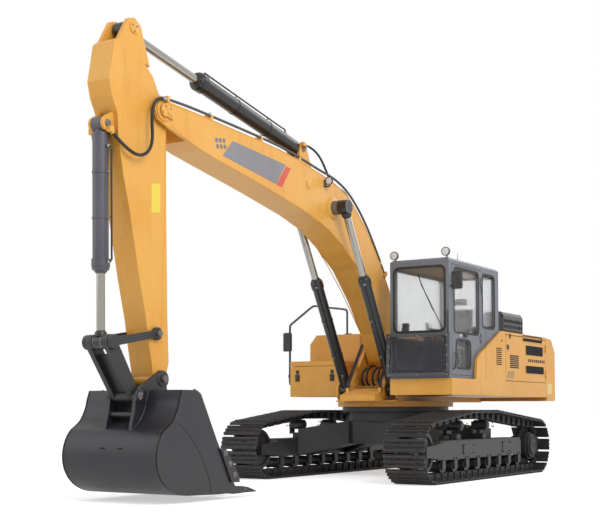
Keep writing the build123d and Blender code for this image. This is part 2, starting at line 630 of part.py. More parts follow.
with BuildPart() as front_guard:
    block((CAB_RIGHT - 20, CAB_LEFT + 40), (CAB_FRONT + 60, CAB_FRONT + 90), (1450, 2050))
    for x in (CAB_RIGHT + 30, CAB_LEFT - 30):
        block((x - 20, x + 20), (CAB_FRONT, CAB_FRONT + 60), (1500, 1550))
        block((x - 20, x + 20), (CAB_FRONT, CAB_FRONT + 60), (2000, 2040))
save(front_guard.part, "front_guard")

# ---------------------------------------------------------------- boom
CROWD_LUG = 70.0           # middle to the inner face of a lug
BOOM_FOOT_R = 130.0
BOOM_NOSE_R = 150.0
with BuildPart() as boom:
    with BuildSketch(side_plane(BOOM_WIDTH / 2)):
        with BuildLine():
            Polyline(
                (280, 1700), (480, 1690), (697, 2095), (1087, 2560), (1513, 2960), (1986, 3240), (2407, 3430),
                (2908, 3555), (3835, 3720), (5236, 3942), (5900, 4100), (6010, 4140), (6060, 4249), (6010, 4340),
                (5880, 4370), (5141, 4345), (3558, 4270), (2579, 4140), (2150, 4060), (1770, 3920), (1339, 3610),
                (949, 3200), (576, 2730), (210, 1900), (200, 1800), close=True)
        make_face()
    extrude(amount=BOOM_WIDTH)
    bar(BOOM_FOOT, BOOM_FOOT_R, (-TOWER_INNER + SIDE_GAP, TOWER_INNER - SIDE_GAP))
    bar(BOOM_FOOT, FOOT_PIN + PIN_GAP, (-300, 300), mode=Mode.SUBTRACT)
    block((-ARM_WIDTH / 2 - SIDE_GAP - 20, ARM_WIDTH / 2 + SIDE_GAP + 20), (5480, 6300), (3800, 4700),
          mode=Mode.SUBTRACT)
    for side in (1, -1):
        lug(CROWD_BASE, 85, (2560, 4100), (2960, 4160), (side * CROWD_LUG, side * (CROWD_LUG + 32)))
    bar(BOOM_NOSE, 60, (-400, 400), mode=Mode.SUBTRACT)
    bar(CROWD_BASE, 40, (-400, 400), mode=Mode.SUBTRACT)
save(boom.part, "boom")

with BuildPart() as boom_pins:
    bar(BOOM_NOSE, 60 - PIN_GAP, (-BOOM_WIDTH / 2 - 25, BOOM_WIDTH / 2 + 25))
    bar(CROWD_BASE, 40 - PIN_GAP, (-110, 110))
    for side in (1, -1):
        bar(LIFT_EYE, 95, (side * BOOM_WIDTH / 2, side * (LIFT_X - LIFT_EYE_HALF - SIDE_GAP)))
save(boom_pins.part, "boom_pins")


# ---------------------------------------------------------------- cylinders
EYE_NECK = 14.0            # between a base eye and the barrel
TUBE_END = 60.0            # closed end of the barrel


def cylinder_tube(base, eye, x, radius, length, eye_radius, eye_width, pin_radius):
    """A cylinder's tube with its base eye, on the line from base to eye, in the active part."""
    head = along(base, eye, length)
    start = along(base, eye, eye_radius + EYE_NECK)
    angle = math.degrees(math.atan2(eye[1] - base[1], eye[0] - base[0]))
    lie = Plane(origin=(x, SLEW_Y - start[0], start[1]), x_dir=(1, 0, 0),
                z_dir=(0, -math.cos(math.radians(angle)), math.sin(math.radians(angle))))
    barrel = math.dist(start, head)
    with BuildSketch(lie) as outer:
        Circle(radius)
    extrude(outer.sketch, amount=barrel)
    with BuildSketch(lie.offset(barrel - radius)) as collar:
        Circle(radius * 1.15)
    extrude(collar.sketch, amount=radius)
    with BuildSketch(lie.offset(-EYE_NECK - eye_radius / 2)) as neck:
        Circle(eye_width / 2 - 4)
    extrude(neck.sketch, amount=EYE_NECK + eye_radius / 2)
    bar(base, eye_radius, (x - eye_width / 2, x + eye_width / 2))
    bar(base, pin_radius + PIN_GAP, (x - eye_width, x + eye_width), mode=Mode.SUBTRACT)
    return lie, barrel


def cylinder_bore(lie, barrel, bore):
    """The hollow that the rod slides in, cut from the tube in the active part."""
    with BuildSketch(lie.offset(TUBE_END)) as hollow:
        Circle(bore)
    extrude(hollow.sketch, amount=barrel, mode=Mode.SUBTRACT)


def cylinder_rod(base, eye, x, radius, inside, eye_radius, eye_width):
    """A cylinder's rod from a point inside its tube to its eye, in the active part."""
    foot = along(base, eye, inside)
    angle = math.atan2(eye[1] - base[1], eye[0] - base[0])
    lie = Plane(origin=(x, SLEW_Y - foot[0], foot[1]), x_dir=(1, 0, 0),
                z_dir=(0, -math.cos(angle), math.sin(angle)))
    with BuildSketch(lie) as rod:
        Circle(radius)
    extrude(rod.sketch, amount=math.dist(foot, eye))
    bar(eye, eye_radius, (x - eye_width / 2, x + eye_width / 2))


LIFT_TUBE = 1750.0
with BuildPart() as boom_cylinder_tubes:
    for side in (1, -1):
        lie, barrel = cylinder_tube(LIFT_BASE, LIFT_EYE, side * LIFT_X, 80, LIFT_TUBE, 95, 2 * LIFT_EYE_HALF, LIFT_PIN)
        cylinder_bore(lie, barrel, 50 + ROLL_GAP)
save(boom_cylinder_tubes.part, "boom_cylinder_tubes")

with BuildPart() as boom_cylinder_rods:
    for side in (1, -1):
        cylinder_rod(LIFT_BASE, LIFT_EYE, side * LIFT_X, 50, LIFT_TUBE - 480, 95, 2 * LIFT_EYE_HALF)
save(boom_cylinder_rods.part, "boom_cylinder_rods")

CROWD_TUBE = 2230.0
with BuildPart() as arm_cylinder_tube:
    lie, barrel = cylinder_tube(CROWD_BASE, CROWD_EYE, 0, 98, CROWD_TUBE, 85, 125, 40)
    cylinder_bore(lie, barrel, 52 + ROLL_GAP)
save(arm_cylinder_tube.part, "arm_cylinder_tube")

with BuildPart() as arm_cylinder_rod:
    cylinder_rod(CROWD_BASE, CROWD_EYE, 0, 52, CROWD_TUBE - 600, 85, 150)
save(arm_cylinder_rod.part, "arm_cylinder_rod")

CURL_TUBE = 1500.0
with BuildPart() as bucket_cylinder_tube:
    lie, barrel = cylinder_tube(CURL_BASE, CURL_EYE, 0, 85, CURL_TUBE, 80, 120, 38)
    cylinder_bore(lie, barrel, 45 + ROLL_GAP)
save(bucket_cylinder_tube.part, "bucket_cylinder_tube")

with BuildPart() as bucket_cylinder_rod:
    cylinder_rod(CURL_BASE, CURL_EYE, 0, 45, CURL_TUBE - 580, 75, 110)
save(bucket_cylinder_rod.part, "bucket_cylinder_rod")

# ---------------------------------------------------------------- arm
ARM_TIP = 110.0            # radius of the arm's end round the bucket's pin
CURL_LUG = 68.0
with BuildPart() as arm:
    with BuildSketch(side_plane(ARM_WIDTH / 2)):
        with BuildLine():
            Polyline(
                (5719, 1500), (5746, 1975), (5781, 3296), (5790, 4000), (5800, 4400), (5921, 4434), (6025, 4606),
                (6227, 4761), (6441, 4902), (6600, 4880), (6664, 4828), (6742, 4414), (6696, 4248), (6600, 4072),
                (6585, 3824), (6505, 3450), (6392, 3067), (6227, 2372), (6110, 1951), (6059, 1684), (5980, 1340),
                BUCKET_PIVOT, (5765, 1340), close=True)
        make_face()
        with Locations(BUCKET_PIVOT):
            Circle(ARM_TIP)
    extrude(amount=ARM_WIDTH)
    for side in (1, -1):
        inner = side * 100
        outer = side * ARM_WIDTH / 2
        profile([(6080, 4700), (6240, 5110), (6340, 5170), (6440, 5140), (6640, 4800)], (inner, outer))
        lug(CURL_BASE, 80, (6600, 4110), (6580, 3880), (side * CURL_LUG, side * (CURL_LUG + 32)))
    bar(BOOM_NOSE, 60, (-400, 400), mode=Mode.SUBTRACT)
    bar(GUIDE_PIVOT, 35, (-400, 400), mode=Mode.SUBTRACT)
    bar(BUCKET_PIVOT, 40, (-400, 400), mode=Mode.SUBTRACT)
    bar(CURL_BASE, 38, (-400, 400), mode=Mode.SUBTRACT)
save(arm.part, "arm")

with BuildPart() as arm_pins:
    bar(GUIDE_PIVOT, 35 - PIN_GAP, (-230, 230))
    bar(BUCKET_PIVOT, 40 - PIN_GAP, (-240, 240))
    bar(CURL_BASE, 38 - PIN_GAP, (-115, 115))
save(arm_pins.part, "arm_pins")

LINK_PIN = 40.0
with BuildPart() as guide_links:
    for side in (1, -1):
        inner = side * (ARM_WIDTH / 2 + SIDE_GAP)
        outer = inner + side * 40
        link(GUIDE_PIVOT, CURL_EYE, 70, 78, (inner, outer))
        bar(GUIDE_PIVOT, 35 + PIN_GAP, (inner - side, outer + side), mode=Mode.SUBTRACT)
save(guide_links.part, "guide_links")

H_INNER = 66.0
H_OUTER = ARM_WIDTH / 2
with BuildPart() as h_link:
    for side in (1, -1):
        link(CURL_EYE, BUCKET_EAR, 80, 62, (side * (H_INNER + 25), side * H_OUTER))
        bar(CURL_EYE, 80, (side * H_INNER, side * H_OUTER))
    bar(BUCKET_EAR, 62, (-H_OUTER, H_OUTER))
    bar(BUCKET_EAR, LINK_PIN, (-H_OUTER - 10, H_OUTER + 10), mode=Mode.SUBTRACT)
    for side in (1, -1):
        bar(CURL_EYE, LINK_PIN, (side * (H_INNER - 5), side * (H_OUTER + 5)), mode=Mode.SUBTRACT)
save(h_link.part, "h_link")

with BuildPart() as link_pins:
    for side in (1, -1):
        bar(CURL_EYE, LINK_PIN, (side * H_INNER, side * H_OUTER))
save(link_pins.part, "link_pins")

# ---------------------------------------------------------------- bucket
BUCKET_SIDE = 30.0
LIP_FRONT = 5150.0
LIP_FLOOR = 60.0
EAR_INNER = H_OUTER + SIDE_GAP
with BuildPart() as bucket:
    with BuildSketch(side_plane(BUCKET_WIDTH / 2)):
        with BuildLine():
            Polyline(
                (6120, 1190), (6165, 1032), (6246, 875), (6397, 772), (6496, 639), (6529, 486), (6496, 361),
                (6430, 255), (6313, 156), (6100, 85), (5496, LIP_FLOOR), (LIP_FRONT, LIP_FLOOR),
                (LIP_FRONT, LIP_FLOOR + 60), (5440, 538), (5754, 1067), (5808, 1147), (5900, 1190), close=True)
        make_face()
    extrude(amount=BUCKET_WIDTH)
    with BuildSketch(side_plane(BUCKET_WIDTH / 2 - BUCKET_SIDE)) as hollow:
        with BuildLine():
            Polyline(
                (5930, 1150), (6090, 1150), (6135, 1020), (6215, 850), (6370, 745), (6465, 625), (6497, 486),
                (6467, 375), (6408, 280), (6300, 188), (6100, 118), (5496, 95), (5100, 95), (5000, 300),
                (5440, 1100), close=True)
        make_face()
    extrude(hollow.sketch, amount=BUCKET_WIDTH - 2 * BUCKET_SIDE, mode=Mode.SUBTRACT)
    for side in (1, -1):
        edges = (side * EAR_INNER, side * (EAR_INNER + 40))
        link(BUCKET_PIVOT, BUCKET_EAR, 95, 75, edges)
        profile([(5800, 1150), (5800, 1260), (6300, 1180), (6330, 1100), (6200, 1000), (6130, 1140)], edges)
    bar(BUCKET_PIVOT, 40, (-400, 400), mode=Mode.SUBTRACT)
    bar(BUCKET_EAR, LINK_PIN, (-400, 400), mode=Mode.SUBTRACT)
save(bucket.part, "bucket")

with BuildPart() as bucket_pins:
    bar(BUCKET_EAR, LINK_PIN - PIN_GAP, (-EAR_INNER - 55, EAR_INNER + 55))
save(bucket_pins.part, "bucket_pins")

TEETH = 5
with BuildPart() as bucket_teeth:
    for index in range(TEETH):
        x = (index / (TEETH - 1) - 0.5) * (BUCKET_WIDTH - 140)
        profile([(LIP_FRONT, LIP_FLOOR), (LIP_FRONT, LIP_FLOOR + 60), (4900, 130), (4680, 60), (4680, 45),
                 (4900, 45)], (x - 55, x + 55))
save(bucket_teeth.part, "bucket_teeth")
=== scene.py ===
"""Looks of the crawler excavator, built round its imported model."""
import logging
import math
from dataclasses import dataclass, field
from enum import Enum
from typing import Sequence

import bmesh
import bpy
from mathutils import Matrix, Vector


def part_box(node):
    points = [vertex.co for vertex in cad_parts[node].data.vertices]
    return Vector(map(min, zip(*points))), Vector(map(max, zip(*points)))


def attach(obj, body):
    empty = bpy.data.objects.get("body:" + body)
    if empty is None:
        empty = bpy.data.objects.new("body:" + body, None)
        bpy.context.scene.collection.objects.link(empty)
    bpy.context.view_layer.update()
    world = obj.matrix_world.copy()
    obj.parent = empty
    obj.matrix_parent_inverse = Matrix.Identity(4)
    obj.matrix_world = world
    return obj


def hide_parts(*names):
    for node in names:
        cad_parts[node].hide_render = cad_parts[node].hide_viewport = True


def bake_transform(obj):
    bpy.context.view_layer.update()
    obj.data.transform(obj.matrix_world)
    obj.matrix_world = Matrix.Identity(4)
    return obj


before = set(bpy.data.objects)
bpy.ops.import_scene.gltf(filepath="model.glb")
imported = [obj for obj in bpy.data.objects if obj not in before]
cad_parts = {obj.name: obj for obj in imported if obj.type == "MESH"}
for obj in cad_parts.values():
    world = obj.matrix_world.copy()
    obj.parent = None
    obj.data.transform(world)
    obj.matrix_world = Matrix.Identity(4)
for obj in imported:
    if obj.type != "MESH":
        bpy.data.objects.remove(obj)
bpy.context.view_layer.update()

LOG = logging.getLogger("excavator")
Colour = tuple[float, float, float]
Point = tuple[float, float, float]
Pair = tuple[float, float]
Station = tuple[float, float, float, float]
Ring = Sequence[bmesh.types.BMVert]
SLEW_Y = 1.88
SIDES = ((1, "left"), (-1, "right"))
LEFT = Vector((1.0, 0.0, 0.0))
AHEAD = Vector((0.0, -1.0, 0.0))
UP = Vector((0.0, 0.0, 1.0))
TIP = 0.0005                    # radius that closes the end of a turned solid
FILM = 0.0012                   # thickness of a painted mark


def srgb(red: int, green: int, blue: int) -> Colour:
    """Linear colour of an 8-bit screen colour."""
    return tuple((c / 255 / 12.92) if c < 11 else ((c / 255 + 0.055) / 1.055) ** 2.4
                 for c in (red, green, blue))


# ------------------------------------------------------------------ node graphs
class Graph:
    """A node tree of any kind, with one short way to add nodes."""

    def __init__(self, tree: bpy.types.NodeTree) -> None:
        """Keeps the tree."""
        self.tree = tree

    def node(self, kind: str, settings: dict | None = None, inputs: dict | None = None) -> bpy.types.Node:
        """Adds a node.

        Args:
            kind: The node's type.
            settings: Attributes that are set first.
            inputs: Values, colours, sockets or Values by socket name or index.

        Returns:
            The node.
        """
        node = self.tree.nodes.new(kind)
        for name, value in (settings or {}).items():
            setattr(node, name, value)
        for name, value in (inputs or {}).items():
            self.feed(node.inputs[name], value)
        return node

    def feed(self, socket: bpy.types.NodeSocket, value: object) -> None:
        """Links a socket or Value to a socket, or sets its number or colour.

        Args:
            socket: The socket that is fed.
            value: A socket, a Value, a number, a vector or a colour.
        """
        value = getattr(value, "socket", value)
        if isinstance(value, bpy.types.NodeSocket):
            self.tree.links.new(value, socket)
        elif isinstance(value, tuple) and len(value) == 3 and socket.type == "RGBA":
            socket.default_value = (*value, 1.0)
        else:
            socket.default_value = value


# ------------------------------------------------------------------ shader maths
class Value:
    """A shader socket that grows Math nodes when it is used in arithmetic."""

    def __init__(self, shader: "Shader", socket: bpy.types.NodeSocket) -> None:
        """Keeps the socket and the shader it belongs to."""
        self.shader = shader
        self.socket = socket

    def math(self, operation: str, *others: "Value | float", clamp: bool = False) -> "Value":
        """Adds one Math node.

        Args:
            operation: The node's operation.
            others: The other operands.
            clamp: Whether the result stays between 0 and 1.

        Returns:
            The node's result.
        """
        node = self.shader.node("ShaderNodeMath", {"operation": operation, "use_clamp": clamp},
                                dict(enumerate((self, *others))))
        return Value(self.shader, node.outputs[0])

    def __add__(self, other: "Value | float") -> "Value":
        """Sum."""
        return self.math("ADD", other)

    def __sub__(self, other: "Value | float") -> "Value":
        """Difference."""
        return self.math("SUBTRACT", other)

    def __rsub__(self, other: float) -> "Value":
        """Difference from a number."""
        return (self * -1.0).math("ADD", other)

    def __mul__(self, other: "Value | float") -> "Value":
        """Product."""
        return self.math("MULTIPLY", other)

    def clamped(self) -> "Value":
        """The value kept between 0 and 1."""
        return self.math("ADD", 0.0, clamp=True)

    def over(self, low: float, high: float) -> "Value":
        """0 below low, 1 above high and a straight ramp between them."""
        return ((self - low) * (1.0 / (high - low))).clamped()


class Shader(Graph):
    """One material's node tree round a Principled shader."""

    def __init__(self, name: str) -> None:
        """Starts an empty material.

        Args:
            name: The material's name.
        """
        self.material = bpy.data.materials.new(name)
        self.material.use_nodes = True
        super().__init__(self.material.node_tree)
        self.tree.nodes.clear()
        self.output = self.node("ShaderNodeOutputMaterial")
        self.surface = self.node("ShaderNodeBsdfPrincipled")
        self.tree.links.new(self.surface.outputs[0], self.output.inputs["Surface"])

    def place(self, stretch: Point = (1.0, 1.0, 1.0)) -> bpy.types.NodeSocket:
        """Object coordinates in metres, stretched along the axes."""
        coordinates = self.node("ShaderNodeTexCoord").outputs["Object"]
        return self.node("ShaderNodeMapping", None, {"Vector": coordinates, "Scale": stretch}).outputs[0]

    def axis(self, index: int) -> Value:
        """One object coordinate in metres, 0 to 2 for X, Y and Z."""
        coordinates = self.node("ShaderNodeTexCoord").outputs["Object"]
        return Value(self, self.node("ShaderNodeSeparateXYZ", None, {0: coordinates}).outputs[index])

    def noise(self, scale: float, detail: float = 4.0, rough: float = 0.6,
              stretch: Point = (1.0, 1.0, 1.0)) -> Value:
        """Noise between 0 and 1.

        Args:
            scale: Waves in a metre.
            detail: Octaves.
            rough: Weight of the fine octaves.
            stretch: Scale along each axis.

        Returns:
            The noise.
        """
        node = self.node("ShaderNodeTexNoise", None, {"Vector": self.place(stretch), "Scale": scale,
                                                      "Detail": detail, "Roughness": rough})
        return Value(self, node.outputs["Fac"])

    def cells(self, scale: float) -> Value:
        """Distance to the nearest of scattered points."""
        node = self.node("ShaderNodeTexVoronoi", None, {"Vector": self.place(), "Scale": scale})
        return Value(self, node.outputs["Distance"])

    def mix(self, share: Value | float, first: object, second: object) -> bpy.types.NodeSocket:
        """A colour between two colours."""
        node = self.node("ShaderNodeMix", {"data_type": "RGBA"}, {0: share, 6: first, 7: second})
        return node.outputs[2]

    def rounded(self, radius: float) -> bpy.types.NodeSocket:
        """The surface's normal with its edges rounded."""
        return self.node("ShaderNodeBevel", {"samples": 4}, {"Radius": radius}).outputs[0]

    def edges(self, radius: float) -> Value:
        """1 on sharp edges, 0 on flat faces.

        Args:
            radius: How far from an edge the mask reaches, in metres.

        Returns:
            The mask.
        """
        flat = self.node("ShaderNodeNewGeometry").outputs["True Normal"]
        dot = self.node("ShaderNodeVectorMath", {"operation": "DOT_PRODUCT"},
                        {0: flat, 1: self.rounded(radius)})
        return (1.0 - Value(self, dot.outputs["Value"])).over(0.02, 0.22)

    def corners(self, reach: float) -> Value:
        """1 in corners and hollows, 0 in the open: an ambient occlusion mask, which the finishes use to paint
        shade.
        """
        node = self.node("ShaderNodeAmbientOcclusion", {"samples": 4}, {"Distance": reach})
        return (1.0 - Value(self, node.outputs["AO"])).over(0.25, 0.95)

    def upward(self) -> Value:
        """1 on faces that look up, 0 on upright and hanging ones."""
        normal = self.node("ShaderNodeNewGeometry").outputs["Normal"]
        return Value(self, self.node("ShaderNodeSeparateXYZ", None, {0: normal}).outputs[2]).over(0.3, 0.95)

    def bump(self, height: Value, depth: float, radius: float = 0.0) -> None:
        """Feeds the surface's normal from a height.

        Args:
            height: Height of the grain.
            depth: Its depth in metres.
            radius: Radius of the rounded edges, or 0 to leave them sharp.
        """
        inputs = {"Height": height, "Distance": depth, "Strength": 1.0}
        if radius:
            inputs["Normal"] = self.rounded(radius)
        self.feed(self.surface.inputs["Normal"], self.node("ShaderNodeBump", None, inputs).outputs[0])

    def dress(self, **inputs: object) -> bpy.types.Material:
        """Sets the Principled shader's sockets.

        Args:
            inputs: Values by socket name, with underscores for spaces.

        Returns:
            The finished material.
        """
        for name, value in inputs.items():
            self.feed(self.surface.inputs[name.replace("_", " ")], value)
        return self.material


# ------------------------------------------------------------------ finishes
class Finish:
    """Something that makes one material, once.

    Attributes:
        name: The material's name.
        made: The materials that are made so far, by name.
    """

    name: str
    made: dict[str, bpy.types.Material] = {}

    def material(self) -> bpy.types.Material:
        """The finish's material, made at its first use."""
        if self.name not in Finish.made:
            Finish.made[self.name] = self.build(Shader(self.name))
        return Finish.made[self.name]

    def build(self, shader: Shader) -> bpy.types.Material:
        """Builds the material in an empty shader."""
        raise NotImplementedError


@dataclass(frozen=True)
class Paint(Finish):
    """Sprayed paint on plate steel, faded in patches, dusty on top, worn through at its edges and darkened by
    painted shade in its corners.

    Attributes:
        name: The material's name.
        colour: Fresh paint.
        faded: Paint that the sun has bleached.
        under: What shows where the paint is worn through.
        grime_and_shade: Colour of the streaks, of the soiling near the ground and of the painted shade in
            corners.
        rough: Roughness of clean paint.
        wear: Share of the edges that is worn through.
        dirt_and_shade: Strength of the soiling near the ground and of the painted shade in corners.
    """

    name: str
    colour: Colour
    faded: Colour
    under: Colour
    grime_and_shade: Colour
    rough: float = 0.38
    wear: float = 0.35
    dirt_and_shade: float = 0.55

    def build(self, shader: Shader) -> bpy.types.Material:
        """Layers fading, streaks, painted shade in corners, dust, soiling near the ground and chips.

        Args:
            shader: Shader of the new material.

        Returns:
            The material.
        """
        patches = shader.noise(1.3, 5.0)
        fine = shader.noise(46.0, 5.0, 0.7)
        streaks = shader.noise(9.0, 4.0, 0.65, (1.0, 1.0, 0.12))
        corner_shade = shader.corners(0.12)
        colour = shader.mix(patches.over(0.35, 0.72), self.colour, self.faded)
        colour = shader.mix(streaks.over(0.56, 0.78) * 0.22, colour, self.grime_and_shade)
        # Painted shade: ambient occlusion darkens the corners towards the streaks' colour.
        colour = shader.mix(corner_shade * (fine + 0.35) * self.dirt_and_shade, colour, self.grime_and_shade)
        dust = shader.upward() * shader.noise(5.0, 6.0).over(0.4, 0.75)
        colour = shader.mix(dust * 0.22, colour, srgb(196, 184, 160))
        low = (1.0 - shader.axis(2).over(0.2, 1.5)) * shader.noise(7.0, 6.0).over(0.35, 0.7)
        colour = shader.mix(low * self.dirt_and_shade, colour, self.grime_and_shade)
        chips = shader.noise(60.0, 6.0, 0.75).over(0.66, 0.7) * shader.noise(2.2).over(0.5, 0.62)
        worn = (shader.edges(0.006) * fine.over(0.62 - 0.3 * self.wear, 0.72) + chips * 0.8).clamped()
        colour = shader.mix(worn * self.wear * 1.6, colour, self.under)
        rough = (patches * 0.14 + fine * 0.1 + dust * 0.25 + worn * 0.2 + (self.rough - 0.1)).clamped()
        shader.bump(fine * 0.4 + shader.noise(3.0, 3.0) * 2.0, 0.0012, 0.006)
        return shader.dress(Base_Color=colour, Roughness=rough, Coat_Roughness=0.25)


@dataclass(frozen=True)
class Metal(Finish):
    """Bare or thinly painted steel with rust, darker patches, polished high spots and painted shade in its
    corners.

    Attributes:
        name: The material's name.
        colour: Weathered steel.
        bright: Steel that is polished on edges.
        rust: Rust.
        rough: Roughness of clean steel.
        metal: Share that reflects as metal.
        rusty: Strength of the rust.
        grain: Depth of the surface's grain in metres.
    """

    name: str
    colour: Colour
    bright: Colour
    rust: Colour
    rough: float = 0.55
    metal: float = 0.6
    rusty: float = 0.4
    grain: float = 0.002

    def build(self, shader: Shader) -> bpy.types.Material:
        """Layers darker patches, rust, polish and painted shade in corners.

        Args:
            shader: Shader of the new material.

        Returns:
            The material.
        """
        broad = shader.noise(2.4, 6.0)
        fine = shader.noise(38.0, 6.0, 0.72)
        rust = (broad.over(0.45, 0.68) * fine.over(0.35, 0.65)) * self.rusty
        polish = shader.edges(0.008) * fine.over(0.3, 0.55)
        colour = shader.mix(fine.over(0.3, 0.7) * 0.5, self.colour, tuple(c * 0.55 for c in self.colour))
        colour = shader.mix(rust, colour, self.rust)
        colour = shader.mix(polish * 0.75, colour, self.bright)
        # Painted shade: ambient occlusion darkens the corners to a darker copy of the steel's colour.
        colour = shader.mix(shader.corners(0.1) * 0.6, colour, tuple(c * 0.4 for c in self.colour))
        metallic = ((1.0 - rust) * self.metal * (polish * 0.5 + 0.5)).clamped()
        rough = (fine * 0.3 + rust * 0.3 - polish * 0.2 + (self.rough - 0.1)).clamped()
        shader.bump(fine + broad * 0.6 + rust, self.grain, 0.007)
        return shader.dress(Base_Color=colour, Metallic=metallic, Roughness=rough)


@dataclass(frozen=True)
class Chrome(Finish):
    """Hard chrome on a cylinder rod with a film of oil.

    Attributes:
        name: The material's name.
    """

    name: str = "rod_chrome"

    def build(self, shader: Shader) -> bpy.types.Material:
        """A polished shaft with faint patches of oil and dust.

        Args:
            shader: Shader of the new material.

        Returns:
            The material.
        """
        film = shader.noise(24.0, 5.0)
        colour = shader.mix(film.over(0.5, 0.75) * 0.35, srgb(158, 155, 150), srgb(110, 107, 102))
        shader.bump(film, 0.0002, 0.004)
        return shader.dress(Base_Color=colour, Metallic=1.0, Roughness=(film * 0.16 + 0.1).clamped())


@dataclass(frozen=True)
class Moulded(Finish):
    """Moulded plastic or rubber with a fine grain.

    Attributes:
        name: The material's name.
        colour: Clean plastic or rubber.
        rough: Roughness of a clean surface.
        grain: Depth of the grain in metres.
        dusty: Strength of the dust.
    """

    name: str
    colour: Colour
    rough: float = 0.6
    grain: float = 0.0006
    dusty: float = 0.25

    def build(self, shader: Shader) -> bpy.types.Material:
        """A grained surface that holds dust.

        Args:
            shader: Shader of the new material.

        Returns:
            The material.
        """
        grain = shader.cells(420.0)
        dust = shader.noise(9.0, 6.0).over(0.4, 0.75)
        colour = shader.mix(dust * self.dusty, self.colour, srgb(120, 112, 100))
        shader.bump(grain + shader.noise(60.0) * 0.5, self.grain, 0.003)
        return shader.dress(Base_Color=colour, Roughness=(dust * 0.2 + (self.rough - 0.05)).clamped())


@dataclass(frozen=True)
class Glazing(Finish):
    """Tinted safety glass with dust, and with painted shade that greys it towards its edges.

    Attributes:
        name: The material's name.
        tint: Colour of clean glass.
        rough: Roughness of clean glass.
    """

    name: str
    tint: Colour
    rough: float = 0.04

    def build(self, shader: Shader) -> bpy.types.Material:
        """Clear glass that is cloudier where its film of dust and painted shade is thick.

        Args:
            shader: Shader of the new material.

        Returns:
            The material.
        """
        dust = shader.noise(6.0, 6.0, 0.7, (1.0, 1.0, 0.5)).over(0.45, 0.8)
        # The film is dust in patches plus painted shade from ambient occlusion near the frame.
        film = shader.corners(0.09) * 0.5 + dust * 0.25
        colour = shader.mix(film.clamped(), self.tint, srgb(150, 145, 135))
        return shader.dress(Base_Color=colour, Roughness=(film * 0.5 + self.rough).clamped(),
                            Transmission_Weight=0.92, IOR=1.1, Alpha=(film * 0.6 + 0.12).clamped())


@dataclass(frozen=True)
class Cloth(Finish):
    """Woven seat cloth.

    Attributes:
        name: The material's name.
        colour: The raised threads.
    """

    name: str
    colour: Colour

    def build(self, shader: Shader) -> bpy.types.Material:
        """A weave of two crossed waves.

        Args:
            shader: Shader of the new material.

        Returns:
            The material.
        """
        waves = [Value(shader, shader.node("ShaderNodeTexWave", {"bands_direction": way},
                                           {"Vector": shader.place(), "Scale": 130.0, "Distortion": 1.0}
                                           ).outputs["Fac"]) for way in ("X", "Z")]
        weave = waves[0] * waves[1]
        wear = shader.noise(5.0).over(0.4, 0.7)
        colour = shader.mix(weave, tuple(c * 0.6 for c in self.colour), self.colour)
        colour = shader.mix(wear * 0.3, colour, srgb(120, 116, 110))
        shader.bump(weave, 0.0008)
        return shader.dress(Base_Color=colour, Roughness=0.9, Sheen_Weight=0.3)


@dataclass(frozen=True)
class Lens(Finish):
    """Lamp glass, a screen or a mirror.

    Attributes:
        name: The material's name.
        colour: Clean glass.
        metal: 1 for a mirror's silvering, 0 for glass.
    """

    name: str
    colour: Colour
    metal: float = 0.0

    def build(self, shader: Shader) -> bpy.types.Material:
        """Smooth, slightly wavy glass with a little dust.

        Args:
            shader: Shader of the new material.

        Returns:
            The material.
        """
        dust = shader.noise(14.0, 5.0).over(0.4, 0.8)
        shader.bump(shader.noise(90.0, 2.0), 0.0003)
        return shader.dress(Base_Color=shader.mix(dust * 0.3, self.colour, srgb(140, 134, 124)),
                            Metallic=self.metal, Roughness=(dust * 0.25 + 0.06).clamped())


def mark(name: str, colour: Colour, faded: Colour, grime_and_shade: Colour) -> Paint:
    """Thin matt paint of a stripe or panel over the amber."""
    return Paint(name, colour, faded, srgb(190, 150, 80), grime_and_shade, rough=0.5, wear=0.15, dirt_and_shade=0.3)


AMBER = Paint("amber_paint", srgb(224, 158, 54), srgb(230, 172, 80), srgb(104, 80, 60), srgb(104, 78, 46))
CAB_PAINT = Paint("cab_paint", srgb(102, 106, 114), srgb(116, 120, 128), srgb(150, 148, 144),
                  srgb(62, 58, 52), rough=0.42, wear=0.2)
DARK_PAINT = Paint("dark_paint", srgb(66, 66, 72), srgb(80, 80, 86), srgb(110, 104, 98), srgb(70, 60, 48),
                   rough=0.5, wear=0.4)
BLACK_PAINT = Paint("black_paint", srgb(30, 30, 33), srgb(42, 42, 45), srgb(96, 90, 84), srgb(58, 52, 46),
                    rough=0.45, wear=0.3, dirt_and_shade=0.45)
GLOSS_BLACK = Paint("cylinder_paint", srgb(26, 26, 28), srgb(36, 36, 38), srgb(90, 86, 80), srgb(64, 55, 44),
                    rough=0.28, wear=0.25, dirt_and_shade=0.4)
TRACK_STEEL = Metal("track_steel", srgb(46, 45, 46), srgb(126, 123, 120), srgb(84, 62, 48), rusty=0.35)
BUCKET_STEEL = Metal("bucket_steel", srgb(42, 41, 46), srgb(112, 110, 114), srgb(72, 58, 48), rusty=0.18,
                     metal=0.35, grain=0.001, rough=0.34)
PIN_STEEL = Metal("pin_steel", srgb(120, 116, 112), srgb(180, 178, 174), srgb(104, 76, 54), rusty=0.35)
CAST_GREY = Metal("cast_grey", srgb(86, 86, 88), srgb(130, 130, 130), srgb(96, 70, 50), rusty=0.25, metal=0.3)
ROD_CHROME = Chrome()
RUBBER = Moulded("rubber", srgb(24, 24, 25), rough=0.72)
PLASTIC = Moulded("black_plastic", srgb(34, 34, 37), rough=0.55)
TAN_TRIM = Moulded("tan_trim", srgb(176, 160, 136), rough=0.8, dusty=0.1)
GLASS = Glazing("cab_glass", srgb(226, 232, 238))
SEAT_CLOTH = Cloth("seat_cloth", srgb(66, 66, 70))
LAMP_GLASS = Lens("lamp_glass", srgb(220, 222, 224))
